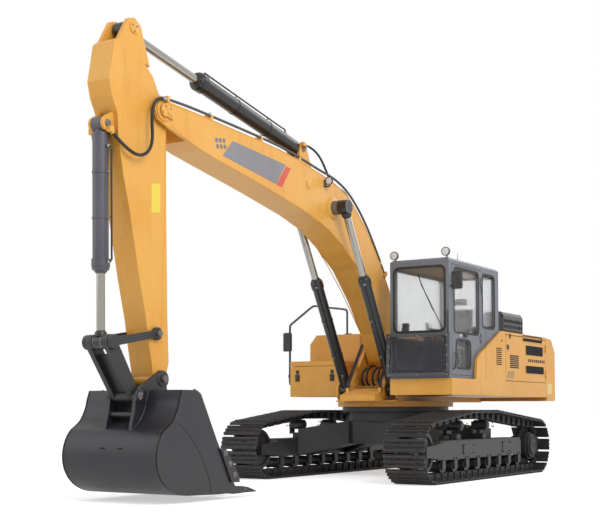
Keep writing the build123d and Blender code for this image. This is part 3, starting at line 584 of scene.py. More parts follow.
MIRROR = Lens("mirror_face", srgb(210, 214, 218), metal=1.0)
PANEL_GREY = mark("panel_grey", srgb(128, 126, 130), srgb(140, 138, 142), srgb(92, 84, 74))
SQUARE_GREY = mark("square_grey", srgb(112, 110, 112), srgb(124, 122, 124), srgb(92, 84, 74))
BAR_RED = mark("bar_red", srgb(206, 74, 60), srgb(214, 96, 82), srgb(92, 60, 48))
PALE_PATCH = mark("pale_patch", srgb(226, 206, 132), srgb(230, 214, 150), srgb(150, 120, 70))
LABEL_SILVER = Paint("bare_plate", srgb(190, 190, 188), srgb(198, 198, 196), srgb(150, 148, 144),
                     srgb(120, 112, 100), rough=0.4, wear=0.1, dirt_and_shade=0.2)
FITTING = Metal("plated_fitting", srgb(168, 166, 156), srgb(214, 212, 204), srgb(120, 100, 70), rough=0.32,
                metal=0.9, rusty=0.15, grain=0.0006)
SCREEN = Lens("monitor_screen", srgb(34, 40, 46))
BARE_YELLOW = Paint("bare_yellow", srgb(232, 204, 60), srgb(234, 208, 80), srgb(190, 150, 80),
                    srgb(150, 120, 60), rough=0.4, wear=0.1, dirt_and_shade=0.2)
CHARCOAL = Paint("charcoal_paint", srgb(78, 78, 86), srgb(88, 88, 96), srgb(120, 116, 110), srgb(60, 54, 46),
                 rough=0.32, wear=0.2, dirt_and_shade=0.3)
# Near-black fill that paints the shade in openings, slots and behind grilles.
SHADE_FILL = Moulded("painted_shade_dark", srgb(20, 20, 21), rough=0.85, dusty=0.12)

NODE_FINISHES: dict[str, Finish] = {name: finish for finish, names in (
    (AMBER, ("upper_frame", "counterweight", "left_side_box", "fuel_tank", "tool_box", "tool_box_lid",
             "left_side_door", "right_side_door", "engine_hood", "engine_bay", "boom", "arm")),
    (CAB_PAINT, ("cab_floor", "cab_frame", "cab_roof", "cab_door")),
    (GLASS, ("windscreen", "cab_windows", "door_glass")),
    (SEAT_CLOTH, ("operator_seat",)),
    (CAST_GREY, ("engine",)),
    (GLOSS_BLACK, ("boom_cylinder_tubes", "arm_cylinder_tube")),
    (CHARCOAL, ("bucket_cylinder_tube",)),
    (ROD_CHROME, ("boom_cylinder_rods", "arm_cylinder_rod", "bucket_cylinder_rod")),
    (PIN_STEEL, ("frame_pins", "boom_pins", "arm_pins", "link_pins", "bucket_pins")),
    (BUCKET_STEEL, ("bucket",)),
    (TRACK_STEEL, ("track_left", "track_right", "sprockets"))) for name in names}


def dress_nodes() -> None:
    """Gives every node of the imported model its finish, black paint where none is named."""
    for name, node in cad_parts.items():
        finish = NODE_FINISHES.get(name, BLACK_PAINT)
        node.data.materials.clear()
        node.data.materials.append(finish.material())
        LOG.info("node %s: %s", name, finish.name)


# ------------------------------------------------------------------ meshes
def at(across: float, forward: float, height: float) -> Vector:
    """A place by its distances to the left, forward of the slew axis and up, in metres."""
    return Vector((across, SLEW_Y - forward, height))


def outward(side: int) -> Vector:
    """The direction away from the machine's middle, to the left for 1 and to the right for -1."""
    return Vector((side, 0.0, 0.0))


def arc(middle: Pair, radius: float, degrees: range) -> list[Pair]:
    """Points on a circle in a plane at the given turns in degrees."""
    return [(middle[0] + radius * math.cos(math.radians(turn)),
             middle[1] + radius * math.sin(math.radians(turn))) for turn in degrees]


def turns(count: int) -> list[float]:
    """The angles of a number of equal steps round a circle."""
    return [math.tau * step / count for step in range(count)]


def show(thing: bpy.types.Object) -> bpy.types.Object:
    """Links an object to the scene, once.

    Args:
        thing: The object.

    Returns:
        The same object.
    """
    if thing.name not in bpy.context.scene.collection.objects:
        bpy.context.scene.collection.objects.link(thing)
    return thing


def smoothed(mesh: bpy.types.Mesh) -> bpy.types.Mesh:
    """Shades a mesh smooth.

    Args:
        mesh: The mesh.

    Returns:
        The same mesh.
    """
    for polygon in mesh.polygons:
        polygon.use_smooth = True
    return mesh


def settled(piece: bpy.types.Object) -> bpy.types.Mesh:
    """A plain mesh of what an object's modifiers or its curve make."""
    bpy.context.view_layer.update()
    return bpy.data.meshes.new_from_object(piece.evaluated_get(bpy.context.evaluated_depsgraph_get()))


def toward(start: Pair, end: Pair, distance: float) -> Pair:
    """The side-view point at a distance from start on the line to end."""
    share = distance / math.dist(start, end)
    return start[0] + (end[0] - start[0]) * share, start[1] + (end[1] - start[1]) * share


def publish(piece: bpy.types.Object, finish: Finish, body: str) -> bpy.types.Object:
    """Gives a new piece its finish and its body.

    Args:
        piece: The new object.
        finish: Its finish.
        body: The body that it rides on.

    Returns:
        The same object.
    """
    piece.data.materials.clear()
    piece.data.materials.append(finish.material())
    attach(show(piece), body)
    LOG.info("piece %s on %s", piece.name, body)
    return piece


class Form:
    """Solids collected in one mesh, which becomes one piece."""

    def __init__(self) -> None:
        """Starts an empty mesh."""
        self.mesh = bmesh.new()

    def block(self, across: Pair, forward: Pair, height: Pair, lean: float = 0.0) -> "Form":
        """Adds a box.

        Args:
            across: Its edges to the left of the machine's middle.
            forward: Its edges forward of the slew axis.
            height: Its floor and top.
            lean: Its lean in the side view in degrees.

        Returns:
            The form.
        """
        low = at(across[0], forward[0], height[0])
        high = at(across[1], forward[1], height[1])
        size = [abs(value) for value in high - low]
        place = Matrix.Translation((low + high) / 2) @ Matrix.Rotation(-math.radians(lean), 4, "X")
        bmesh.ops.create_cube(self.mesh, size=1.0, matrix=place @ Matrix.Diagonal((*size, 1.0)))
        return self

    def rod(self, start: Vector, end: Vector, radius: float, sides: int = 24) -> "Form":
        """Adds a round bar.

        Args:
            start: Middle of one end.
            end: Middle of the other end.
            radius: Its radius.
            sides: Facets round it.

        Returns:
            The form.
        """
        axis = end - start
        place = Matrix.Translation((start + end) / 2) @ axis.to_track_quat("Z", "Y").to_matrix().to_4x4()
        bmesh.ops.create_cone(self.mesh, cap_ends=True, segments=sides, radius1=radius, radius2=radius,
                              depth=axis.length, matrix=place)
        return self

    def band(self, low: Ring, high: Ring) -> None:
        """Adds the faces between two rings of as many corners.

        Args:
            low: Corners of the first ring.
            high: Corners of the second ring.
        """
        for index in range(len(low)):
            after = (index + 1) % len(low)
            self.mesh.faces.new((low[index], low[after], high[after], high[index]))

    def skin(self, rings: Sequence[Ring]) -> "Form":
        """Joins each ring to the next and closes both ends.

        Args:
            rings: Rings of as many corners, in order.

        Returns:
            The form.
        """
        for low, high in zip(rings, rings[1:]):
            self.band(low, high)
        self.mesh.faces.new(list(reversed(rings[0])))
        self.mesh.faces.new(rings[-1])
        return self

    def prism(self, near: Ring, far: Ring) -> "Form":
        """Closes two matching outlines and joins their edges.

        Args:
            near: Corners of the near outline.
            far: Corners of the far outline, in the same order.

        Returns:
            The form.
        """
        self.mesh.faces.new(near)
        self.mesh.faces.new(list(reversed(far)))
        for index in range(len(near)):
            after = (index + 1) % len(near)
            self.mesh.faces.new((near[index], far[index], far[after], near[after]))
        return self

    def disc(self, start: Vector, axis: Vector, radius: float, thick: float, edge: Pair = (0.002, 0.003),
             sides: int = 40) -> "Form":
        """Adds a round plate with its far edge broken.

        Args:
            start: Middle of its near face.
            axis: Direction of its axis.
            radius: Its radius.
            thick: Thickness up to the broken edge.
            edge: Height and width of the broken edge.
            sides: Facets round it.

        Returns:
            The form.
        """
        top = thick + edge[0]
        return self.turned(start, axis, [(0.0, radius), (thick, radius), (top, radius - edge[1]),
                                         (top, TIP)], sides)

    def turned(self, start: Vector, axis: Vector, profile: Sequence[Pair], sides: int = 40) -> "Form":
        """Adds a turned solid.

        Args:
            start: Where the turning axis starts.
            axis: Its direction.
            profile: Distance along the axis and radius at each step.
            sides: Facets round the axis.

        Returns:
            The form.
        """
        frame_of_axis = axis.to_track_quat("Z", "Y")
        rings = []
        for along, radius in profile:
            spokes = [Vector((radius * math.cos(turn), radius * math.sin(turn), along))
                      for turn in turns(sides)]
            rings.append([self.mesh.verts.new(start + frame_of_axis @ spoke) for spoke in spokes])
        return self.skin(rings)

    def plate(self, outline: Sequence[Pair], across: Pair) -> "Form":
        """Adds a plate with a side outline of (forward, height) points between two values of across."""
        return self.prism(*([self.mesh.verts.new(at(x, *point)) for point in outline] for x in across))

    def bent(self, points: Sequence[Vector], radius: float, sides: int = 10, steps: int = 6) -> "Form":
        """Adds a round bar along a smooth line through points.

        Args:
            points: Points that the bar's middle passes through.
            radius: Radius of the bar.
            sides: Facets round it.
            steps: Rings between two points.

        Returns:
            The form.
        """
        line = smooth_line(points, steps)
        side = (line[1] - line[0]).orthogonal().normalized()
        rings = []
        for index, place in enumerate(line):
            ahead = (line[min(index + 1, len(line) - 1)] - line[max(index - 1, 0)]).normalized()
            side = (side - ahead * side.dot(ahead)).normalized()
            other = ahead.cross(side)
            spokes = [side * math.cos(turn) + other * math.sin(turn) for turn in turns(sides)]
            rings.append([self.mesh.verts.new(place + spoke * radius) for spoke in spokes])
        return self.skin(rings)

    def frame(self, corner: Vector, wide: Vector, tall: Vector, bar: float, depth: float,
              rounding: float = 0.05) -> "Form":
        """Adds a rounded rectangular bead lying round an opening.

        Args:
            corner: The opening's lowest corner.
            wide: The opening's width as a vector.
            tall: Its height as a vector.
            bar: Width of the bead.
            depth: Its thickness along wide × tall.
            rounding: Radius of the opening's corners.

        Returns:
            The form.
        """
        across, up = wide.normalized(), tall.normalized()
        out = across.cross(up) * depth
        loops = []
        for grow in (0.0, bar):
            for lift in (0.0, 1.0):
                loop = []
                for side, level, start in ((1, 1, 0), (0, 1, 90), (0, 0, 180), (1, 0, 270)):
                    middle = (corner + across * (wide.length * side + rounding * (1 - 2 * side))
                              + up * (tall.length * level + rounding * (1 - 2 * level)))
                    for turn in range(0, 91, 15):
                        angle = math.radians(start + turn)
                        loop.append(self.mesh.verts.new(
                            middle + (across * math.cos(angle) + up * math.sin(angle)) * (rounding + grow)
                            + out * lift))
                loops.append(loop)
        inner_low, inner_high, outer_low, outer_high = loops
        for first, second in ((inner_low, inner_high), (inner_high, outer_high), (outer_high, outer_low),
                              (outer_low, inner_low)):
            self.band(first, second)
        return self

    def sheet(self, corner: Vector, wide: Vector, tall: Vector, count: tuple[int, int], hole: Pair,
              depth: float) -> "Form":
        """Adds a sheet with rows of rectangular holes, as cells that share their corners.

        Args:
            corner: The sheet's lowest corner.
            wide: Its width as a vector.
            tall: Its height as a vector.
            count: Holes across and up.
            hole: Width and height of a hole.
            depth: Thickness along wide × tall.

        Returns:
            The form.
        """
        columns, rows = breaks(wide.length, count[0], hole[0]), breaks(tall.length, count[1], hole[1])
        across, up = wide.normalized(), tall.normalized()
        out = across.cross(up) * depth
        low, high = ([[self.mesh.verts.new(corner + across * column + up * row + out * lift) for row in rows]
                      for column in columns] for lift in (0.0, 1.0))

        def solid(column: int, row: int) -> bool:
            """Whether a cell is sheet and not a hole or outside."""
            inside = 0 <= column < len(columns) - 1 and 0 <= row < len(rows) - 1
            return inside and not (column % 2 and row % 2)

        for column in range(len(columns) - 1):
            for row in range(len(rows) - 1):
                if not solid(column, row):
                    continue
                ring = [(column, row), (column + 1, row), (column + 1, row + 1), (column, row + 1)]
                self.mesh.faces.new([high[i][j] for i, j in ring])
                self.mesh.faces.new([low[i][j] for i, j in reversed(ring)])
                for (start, end), (aside, above) in zip(zip(ring, ring[1:] + ring[:1]),
                                                        ((0, -1), (1, 0), (0, 1), (-1, 0))):
                    if not solid(column + aside, row + above):
                        self.mesh.faces.new([low[start[0]][start[1]], low[end[0]][end[1]],
                                             high[end[0]][end[1]], high[start[0]][start[1]]])
        return self

    def piece(self, name: str, finish: Finish, body: str, slot: str, bevel: float = 0.0015,
              smooth: float = 38.0) -> bpy.types.Object:
        """Turns the form into a piece.

        Args:
            name: The piece's name.
            finish: Its finish.
            body: The body that it rides on.
            slot: Name of the record's material slot, which is not used.
            bevel: Width of the rounded edges.
            smooth: Edges sharper than this angle in degrees stay sharp.

        Returns:
            The piece.
        """
        bmesh.ops.recalc_face_normals(self.mesh, faces=self.mesh.faces)
        mesh = bpy.data.meshes.new(name)
        self.mesh.to_mesh(mesh)
        self.mesh.free()
        smoothed(mesh).set_sharp_from_angle(angle=math.radians(smooth))
        piece = show(bpy.data.objects.new(name, mesh))
        if bevel:
            edge = piece.modifiers.new("edge", "BEVEL")
            edge.width = bevel
            edge.segments = 2
            edge.limit_method = "ANGLE"
            edge.angle_limit = math.radians(smooth)
            edge.harden_normals = True
        return publish(piece, finish, body)


def breaks(length: float, count: int, hole: float) -> list[float]:
    """Where holes start and end along a length, with equal gaps between them.

    Args:
        length: The length of the sheet.
        count: Number of holes.
        hole: Length of a hole.

    Returns:
        The distances, from 0 to the length.
    """
    gap = (length - count * hole) / (count + 1)
    line = [0.0]
    for index in range(count):
        start = gap + index * (gap + hole)
        line += [start, start + hole]
    return line + [length]


def smooth_line(points: Sequence[Vector], steps: int) -> list[Vector]:
    """A smooth line through points.

    Args:
        points: Points that the line passes through.
        steps: Steps between two of them.

    Returns:
        Points on the line, the given ones among them.
    """
    line = []
    last = len(points) - 1
    for index in range(last):
        before, start, end, after = (points[max(index - 1, 0)], points[index], points[index + 1],
                                     points[min(index + 2, last)])
        for step in range(steps):
            share = step / steps
            line.append(0.5 * ((2 * start) + (end - before) * share
                               + (2 * before - 5 * start + 4 * end - after) * share ** 2
                               + (3 * start - before - 3 * end + after) * share ** 3))
    return line + [points[-1].copy()]


# ------------------------------------------------------------------ geometry nodes
class NodeTree(Graph):
    """A Geometry Nodes tree with named inputs, which ends in a plain mesh."""

    def __init__(self, name: str, inputs: dict[str, tuple[str, object]]) -> None:
        """Starts the tree.

        Args:
            name: The tree's name.
            inputs: Kind and usual value of each input by its name.
        """
        super().__init__(bpy.data.node_groups.new(name, "GeometryNodeTree"))
        sockets = self.tree.interface
        sockets.new_socket("Geometry", in_out="INPUT", socket_type="NodeSocketGeometry")
        for label, (kind, value) in inputs.items():
            socket = sockets.new_socket(label, in_out="INPUT", socket_type=f"NodeSocket{kind}")
            if value is not None:
                socket.default_value = value
        sockets.new_socket("Geometry", in_out="OUTPUT", socket_type="NodeSocketGeometry")
        self.inputs = self.tree.nodes.new("NodeGroupInput").outputs
        self.output = self.tree.nodes.new("NodeGroupOutput").inputs[0]

    def product(self, first: bpy.types.NodeSocket, second: float) -> bpy.types.NodeSocket:
        """A socket times a number."""
        return self.node("ShaderNodeMath", {"operation": "MULTIPLY"}, {0: first, 1: second}).outputs[0]

    def vector(self, x: object = 0.0, y: object = 0.0, z: object = 0.0) -> bpy.types.NodeSocket:
        """A vector of three sockets or numbers."""
        return self.node("ShaderNodeCombineXYZ", None, {"X": x, "Y": y, "Z": z}).outputs[0]

    def shifted(self, geometry: bpy.types.NodeSocket, x: object, y: object,
                z: object) -> bpy.types.NodeSocket:
        """Geometry moved by three sockets or numbers."""
        return self.node("GeometryNodeTransform", None,
                         {"Geometry": geometry, "Translation": self.vector(x, y, z)}).outputs[0]

    def joined(self, *parts: bpy.types.NodeSocket) -> bpy.types.NodeSocket:
        """Several meshes as one.

        Args:
            *parts: The meshes.

        Returns:
            All of them as one mesh.
        """
        node = self.tree.nodes.new("GeometryNodeJoinGeometry")
        for part in parts:
            self.tree.links.new(part, node.inputs[0])
        return node.outputs[0]

    def scattered(self, instance: bpy.types.NodeSocket, spin: float = 0.0) -> bpy.types.NodeSocket:
        """An instance on every point, with its Z along the point's facing.

        Args:
            instance: What stands on each point.
            spin: Largest random turn about the facing, in radians.

        Returns:
            The instances.
        """
        facing, along = (self.node("GeometryNodeInputNamedAttribute", {"data_type": "FLOAT_VECTOR"},
                                   {"Name": label}).outputs["Attribute"] for label in ("facing", "along"))
        turn = self.node("FunctionNodeAlignRotationToVector", {"axis": "Z"}, {"Vector": facing})
        turn = self.node("FunctionNodeAlignRotationToVector", {"axis": "X", "pivot_axis": "Z"},
                         {"Rotation": turn.outputs[0], "Vector": along}).outputs[0]
        if spin:
            seeded = self.node("FunctionNodeRandomValue", {"data_type": "FLOAT"},
                               {2: 0.0, 3: spin, "Seed": self.inputs["Seed"]}).outputs[1]
            turn = self.node("FunctionNodeRotateRotation", {"rotation_space": "LOCAL"},
                             {"Rotation": turn, "Rotate By": self.vector(z=seeded)}).outputs[0]
        points = self.node("GeometryNodeMeshToPoints", None, {"Mesh": self.inputs["Geometry"]}).outputs[0]
        return self.node("GeometryNodeInstanceOnPoints", None,
                         {"Points": points, "Instance": instance, "Rotation": turn}).outputs[0]

    def end(self, geometry: bpy.types.NodeSocket) -> None:
        """Realizes the instances, sets the material and feeds the output.

        Args:
            geometry: What the tree makes.
        """
        real = self.node("GeometryNodeRealizeInstances", None, {"Geometry": geometry}).outputs[0]
        dressed = self.node("GeometryNodeSetMaterial", None,
                            {"Geometry": real, "Material": self.inputs["Material"]}).outputs[0]
        self.tree.links.new(dressed, self.output)

    def grow(self, name: str, places: Sequence[tuple[Vector, Vector, Vector]], finish: Finish,
             values: dict[str, object]) -> bpy.types.Object:
        """Runs the tree on points and keeps the result as a plain mesh.

        Args:
            name: The new object's name.
            places: Place, facing and direction along of each point.
            finish: The finish of what grows.
            values: Values of the tree's inputs by name.

        Returns:
            The object, linked to the scene.
        """
        mesh = bpy.data.meshes.new(f"{name}_points")
        mesh.from_pydata([place for place, _, _ in places], [], [])
        for label, column in (("facing", 1), ("along", 2)):
            layer = mesh.attributes.new(label, "FLOAT_VECTOR", "POINT")
            for index, place in enumerate(places):
                layer.data[index].vector = place[column]
        piece = show(bpy.data.objects.new(name, mesh))
        modifier = piece.modifiers.new("nodes", "NODES")
        modifier.node_group = self.tree
        values = {**values, "Material": finish.material()}
        for item in self.tree.interface.items_tree:
            if item.in_out == "INPUT" and item.name in values:
                modifier[item.identifier] = values[item.name]
        result = settled(piece)
        piece.modifiers.clear()
        piece.data = result
        for label in ("facing", "along"):
            if label in result.attributes:
                result.attributes.remove(result.attributes[label])
        return piece


class Bolts:
    """Hexagon bolts on washers, set out point by point on one body.

    Attributes:
        tree: The tree that makes the bolts, once it is built.
    """

    tree: NodeTree | None = None

    def __init__(self) -> None:
        """Starts with no bolts."""
        self.places: list[tuple[Vector, Vector, Vector]] = []

    def add(self, place: Vector, facing: Vector, along: Vector = Vector((0.0, 0.3, 1.0))) -> "Bolts":
        """Sets one bolt."""
        self.places.append((place, facing, along))
        return self

    def ring(self, middle: Vector, facing: Vector, radius: float, count: int, start: float = 0.0) -> "Bolts":
        """Sets a circle of bolts.

        Args:
            middle: Middle of the circle.
            facing: Direction that the heads face.
            radius: Radius of the circle.
            count: Number of bolts.
            start: Turn of the first bolt in degrees.

        Returns:
            The bolts.
        """
        turn = facing.to_track_quat("Z", "Y")
        for index in range(count):
            angle = math.radians(start) + math.tau * index / count
            self.add(middle + turn @ Vector((radius * math.cos(angle), radius * math.sin(angle), 0.0)),
                     facing)
        return self

    @classmethod
    def nodes(cls) -> NodeTree:
        """The tree that makes a bolt's head, its chamfered top and its washer."""
        if cls.tree is None:
            tree = NodeTree("bolts", {"Head": ("Float", 0.012), "Height": ("Float", 0.008),
                                      "Washer": ("Float", 0.003), "Seed": ("Int", 7),
                                      "Material": ("Material", None)})
            tall, wide = tree.inputs["Height"], tree.inputs["Head"]
            head = tree.node("GeometryNodeMeshCylinder", None,
                             {"Vertices": 6, "Radius": wide, "Depth": tall}).outputs["Mesh"]
            crown = tree.node("GeometryNodeMeshCone", None,
                              {"Vertices": 18, "Radius Bottom": tree.product(wide, 0.86),
                               "Radius Top": tree.product(wide, 0.62),
                               "Depth": tree.product(tall, 0.22)}).outputs["Mesh"]
            washer = tree.node("GeometryNodeMeshCylinder", None,
                               {"Vertices": 18, "Radius": tree.product(wide, 1.45),
                                "Depth": tree.inputs["Washer"]}).outputs["Mesh"]
            parts = ((head, tree.product(tall, 0.5)), (crown, tall),
                     (washer, tree.product(tree.inputs["Washer"], 0.5)))
            bolt = tree.joined(*(tree.shifted(part, 0.0, 0.0, lift) for part, lift in parts))
            tree.end(tree.scattered(bolt, math.tau))
            cls.tree = tree
        return cls.tree

    def piece(self, name: str, finish: Finish, body: str, slot: str, head: float = 0.012,
              height: float = 0.008) -> bpy.types.Object:
        """Turns the bolts into a piece of that head radius and head height."""
        piece = self.nodes().grow(name, self.places, finish, {"Head": head, "Height": height})
        return publish(piece, finish, body)


# ------------------------------------------------------------------ free hoses
@dataclass
class Hoses:
    """The free hoses beside the boom's head and over its nose.

    Attributes:
        crowd: Route of a hose from the end of an inner pipe to the arm cylinder.
        nose: Route of a hose from the end of an outer pipe, under the nose, to the bucket cylinder.
    """

    crowd: list[Point] = field(default_factory=lambda: [
        (0.14, 2.1, 4.066), (0.14, 2.195, 4.118), (0.14, 2.305, 4.24), (0.138, 2.455, 4.392),
        (0.13, 2.66, 4.478), (0.124, 2.85, 4.485)])
    nose: list[Point] = field(default_factory=lambda: [
        (0.237, 5.895, 4.376), (0.237, 6.005, 4.368), (0.237, 6.092, 4.31), (0.237, 6.138, 4.205),
        (0.237, 6.145, 4.065), (0.237, 6.13, 3.925), (0.237, 6.15, 3.8), (0.237, 6.232, 3.708),
        (0.235, 6.352, 3.664), (0.222, 6.478, 3.69), (0.185, 6.589, 3.768), (0.125, 6.672, 3.878)])

    def build(self) -> None:
        """Makes the four hoses."""
        for side, word in SIDES:
            route = self.places(self.crowd, side)
            hose = self.hose(f"crowd_line_{word}", route, 0.015)
            publish(hose, RUBBER, "boom")
            route = self.places(self.nose, side)
            line = self.hose(f"nose_line_{word}", route, 0.0)
            path = [vertex.co.copy() for vertex in self.solid(line).vertices]
            line.data.bevel_depth = 0.018
            mesh = self.solid(line)
            bpy.data.objects.remove(line)
            mesh.materials.append(RUBBER.material())
            hose = show(bpy.data.objects.new(f"nose_line_{word}", mesh))
            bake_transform(hose)
            LOG.info("piece %s between boom and arm", hose.name)

    def places(self, route: Sequence[Point], side: int) -> list[Vector]:
        """A route's places on the left, 1, or the right, -1."""
        return [at(side * across, forward, height) for across, forward, height in route]

    def solid(self, line: bpy.types.Object) -> bpy.types.Mesh:
        """The mesh of a curve, which is only its middle line when it has no thickness."""
        return smoothed(settled(show(line)))

    def hose(self, name: str, route: Sequence[Vector], radius: float) -> bpy.types.Object:
        """A hose as one smooth spline.

        Args:
            name: The hose's name.
            route: Control points of the spline.
            radius: Radius of the hose.

        Returns:
            The curve, not linked to the scene.
        """
        curve = bpy.data.curves.new(name, "CURVE")
        curve.dimensions = "3D"
        spline = curve.splines.new("NURBS")
        spline.points.add(len(route) - 1)
        for point, place in zip(spline.points, route):
            point.co = (*place, 1.0)
        spline.order_u = 3
        spline.use_endpoint_u = True
        spline.resolution_u = 10
        curve.bevel_depth = radius
        curve.bevel_resolution = 4
        curve.use_fill_caps = True
        return bpy.data.objects.new(name, curve)


# ------------------------------------------------------------------ undercarriage
@dataclass
class Undercarriage:
    """The tracks' shoes with their bolts and the painted shade of their openings, the hubs' covers and the
    frames' trim.

    Attributes:
        gauge_half: Middle of the machine to the middle of a track.
        reach: Slew axis to the idler's or the sprocket's axis.
        axle: Height of those axles.
        shoes: Shoes in one loop.
        plate_radius: Axle to the outside of a shoe's plate.
        frame_face: Middle of a track to its frame's side.
        carriers: The carrier rollers, forward of the slew axis.
    """

    gauge_half: float = 1.295
    reach: float = 1.898
    axle: float = 0.42
    shoes: int = 49
    plate_radius: float = 0.397
    frame_face: float = 0.135
    carriers: Pair = (0.7, -0.22)

    def build(self) -> None:
        """Makes the shoes, the hubs' covers and the frames' trim."""
        self.shoe_marks()
        self.hubs()
        self.frames()

    def loop(self) -> list[tuple[Pair, Pair]]:
        """Side-view place and outward direction of every shoe's middle."""
        low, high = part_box("track_left")
        floor, top = low[2] + 0.025, high[2] - 0.025
        runs: list[tuple[Pair, Pair]] = []
        radius = self.plate_radius
        sag = top - self.axle
        points = [(self.reach, self.axle - radius)]
        points += arc((self.reach, self.axle), radius, range(-90, 91, 6))
        points += [(forward, self.axle + sag) for forward in self.carriers]
        points += arc((-self.reach, self.axle), radius, range(90, 271, 6))
        points.append((self.reach, floor))
        lengths = [math.dist(start, end) for start, end in zip(points, points[1:])]
        pitch = sum(lengths) / self.shoes
        travelled = pitch / 2
        for start, end, length in zip(points, points[1:], lengths):
            while travelled <= length and len(runs) < self.shoes:
                share = travelled / max(length, 1e-9)
                ahead = ((end[0] - start[0]) / length, (end[1] - start[1]) / length)
                runs.append(((start[0] + (end[0] - start[0]) * share, start[1] + (end[1] - start[1]) * share),
                             (ahead[1], -ahead[0])))
                travelled += pitch
            travelled -= length
        return runs

    def hubs(self) -> None:
        """Turned hub covers with their rings of bolts."""
        for side, word in SIDES:
            out = outward(side)
            face = side * (self.gauge_half + self.frame_face + 0.05)
            cover = Form()
            bolts = Bolts()
            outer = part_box("final_drives")[1 if side > 0 else 0][0]
            middle = at(outer - side * 0.03, -self.reach, self.axle)
            cover.turned(middle, out, [(0.0, 0.15), (0.03, 0.15), (0.034, 0.144), (0.034, 0.06),
                                       (0.038, 0.052), (0.038, TIP)])
            bolts.ring(middle + out * 0.033, out, 0.128, 14)
            bolts.ring(middle + out * 0.037, out, 0.03, 3, 20)
            for forward in self.carriers:
                middle = at(face, forward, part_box("carrier_rollers")[1][2] - 0.075)
                bolts.ring(middle, out, 0.034, 3, 90)
            cover.piece(f"hub_covers_{word}", BLACK_PAINT, "undercarriage", "frame_black")
            bolts.piece(f"hub_bolts_{word}", BLACK_PAINT, "undercarriage", "frame_black", 0.01, 0.008)

    def frames(self) -> None:
        """Access covers, roller bolts and a weld bead along each track frame's outer side."""
        for side, word in SIDES:
            face = side * (self.gauge_half + self.frame_face)
            out = outward(side)
            trim = Form()
            trim.block((face, face + side * 0.01), (0.35, 0.72), (0.36, 0.5))
            trim.block((face, face + side * 0.007), (-1.02, -0.72), (0.35, 0.51))
            trim.block((face - side * 0.02, face + side * 0.006), (-1.36, 1.4), (0.549, 0.562))
            trim.piece(f"frame_covers_{word}", BLACK_PAINT, "undercarriage", "frame_black")
            bolts = Bolts()
            for low, high, floor, top in ((0.37, 0.7, 0.375, 0.485), (-1.0, -0.74, 0.365, 0.495)):
                for forward in (low, high):
                    for height in (floor, top):
                        bolts.add(at(face + side * 0.008, forward, height), out)
            for index in range(8):
                forward = 1.375 - 2.75 * index / 7
                for shift in (-0.045, 0.045):
                    bolts.add(at(face, forward + shift, 0.32), out)
            bolts.piece(f"frame_bolts_{word}", BLACK_PAINT, "undercarriage", "frame_black", 0.011, 0.009)

    def shoe_tree(self) -> NodeTree:
        """The tree that makes one shoe with its three grousers, its links, pin, openings' rims and bolts."""
        tree = NodeTree("track_shoe", {"Across": ("Float", 0.6), "Long": ("Float", 0.178),
                                       "Thick": ("Float", 0.014), "Grouser": ("Float", 0.025),
                                       "Link": ("Float", 0.098), "Material": ("Material", None)})
        across, long, thick = tree.inputs["Across"], tree.inputs["Long"], tree.inputs["Thick"]
        tall, link = tree.inputs["Grouser"], tree.inputs["Link"]

        def box(wide: object, deep: object, high: object, place: tuple[object, object, object]) -> object:
            """A box of that size with its middle at a place."""
            size = tree.vector(wide, deep, high)
            cube = tree.node("GeometryNodeMeshCube", None, {"Size": size}).outputs["Mesh"]
            return tree.shifted(cube, *place)

        low = tree.product(thick, -0.5)
        lift = tree.product(tall, 0.5)
        sunk = tree.product(link, -0.6)
        parts = [box(across, long, thick, (0.0, 0.0, low))]
        for shift, wide in ((-0.062, 0.011), (0.0, 0.013), (0.062, 0.011)):
            parts.append(box(across, wide, tall, (0.0, shift, lift)))
            parts.append(box(across, wide + 0.012, tree.product(tall, 0.36),
                             (0.0, shift, tree.product(tall, 0.18))))
        for side in (-1, 1):
            parts.append(box(0.04, tree.product(long, 0.62), link, (side * 0.078, 0.03, sunk)))
            parts.append(box(0.034, tree.product(long, 0.56), tree.product(link, 0.92),
                             (side * 0.104, -0.052, sunk)))
        pin = tree.node("GeometryNodeMeshCylinder", None, {"Vertices": 12, "Radius": 0.026,
                                                           "Depth": 0.262}).outputs["Mesh"]
        parts.append(tree.node("GeometryNodeTransform", None,
                               {"Geometry": pin, "Rotation": (0.0, math.pi / 2, 0.0),
                                "Translation": (0.0, -0.09, -0.066)}).outputs[0])
        tree.end(tree.scattered(tree.joined(*parts)))
        return tree

    def shoe_marks(self) -> None:
        """Both loops of shoes and links, with bolts on every shoe and dark marks that paint the shade in its
        mud openings.
        """
        shoes = self.shoe_tree()
        tree = NodeTree("shoe_opening_shade", {"Long": ("Float", 0.06), "Wide": ("Float", 0.028),
                                          "Deep": ("Float", 0.003), "Material": ("Material", None)})
        size = tree.vector(*(tree.inputs[label] for label in ("Long", "Wide", "Deep")))
        box = tree.node("GeometryNodeMeshCube", None, {"Size": size}).outputs["Mesh"]
        tree.end(tree.scattered(box))
        places = self.loop()
        for side, word in SIDES:
            middle = side * self.gauge_half
            marks, stations = [], []
            bolts = Bolts()
            for (forward, height), (ahead, up) in places:
                facing = Vector((0.0, -ahead, up))
                stations.append((at(middle, forward, height), facing, LEFT))
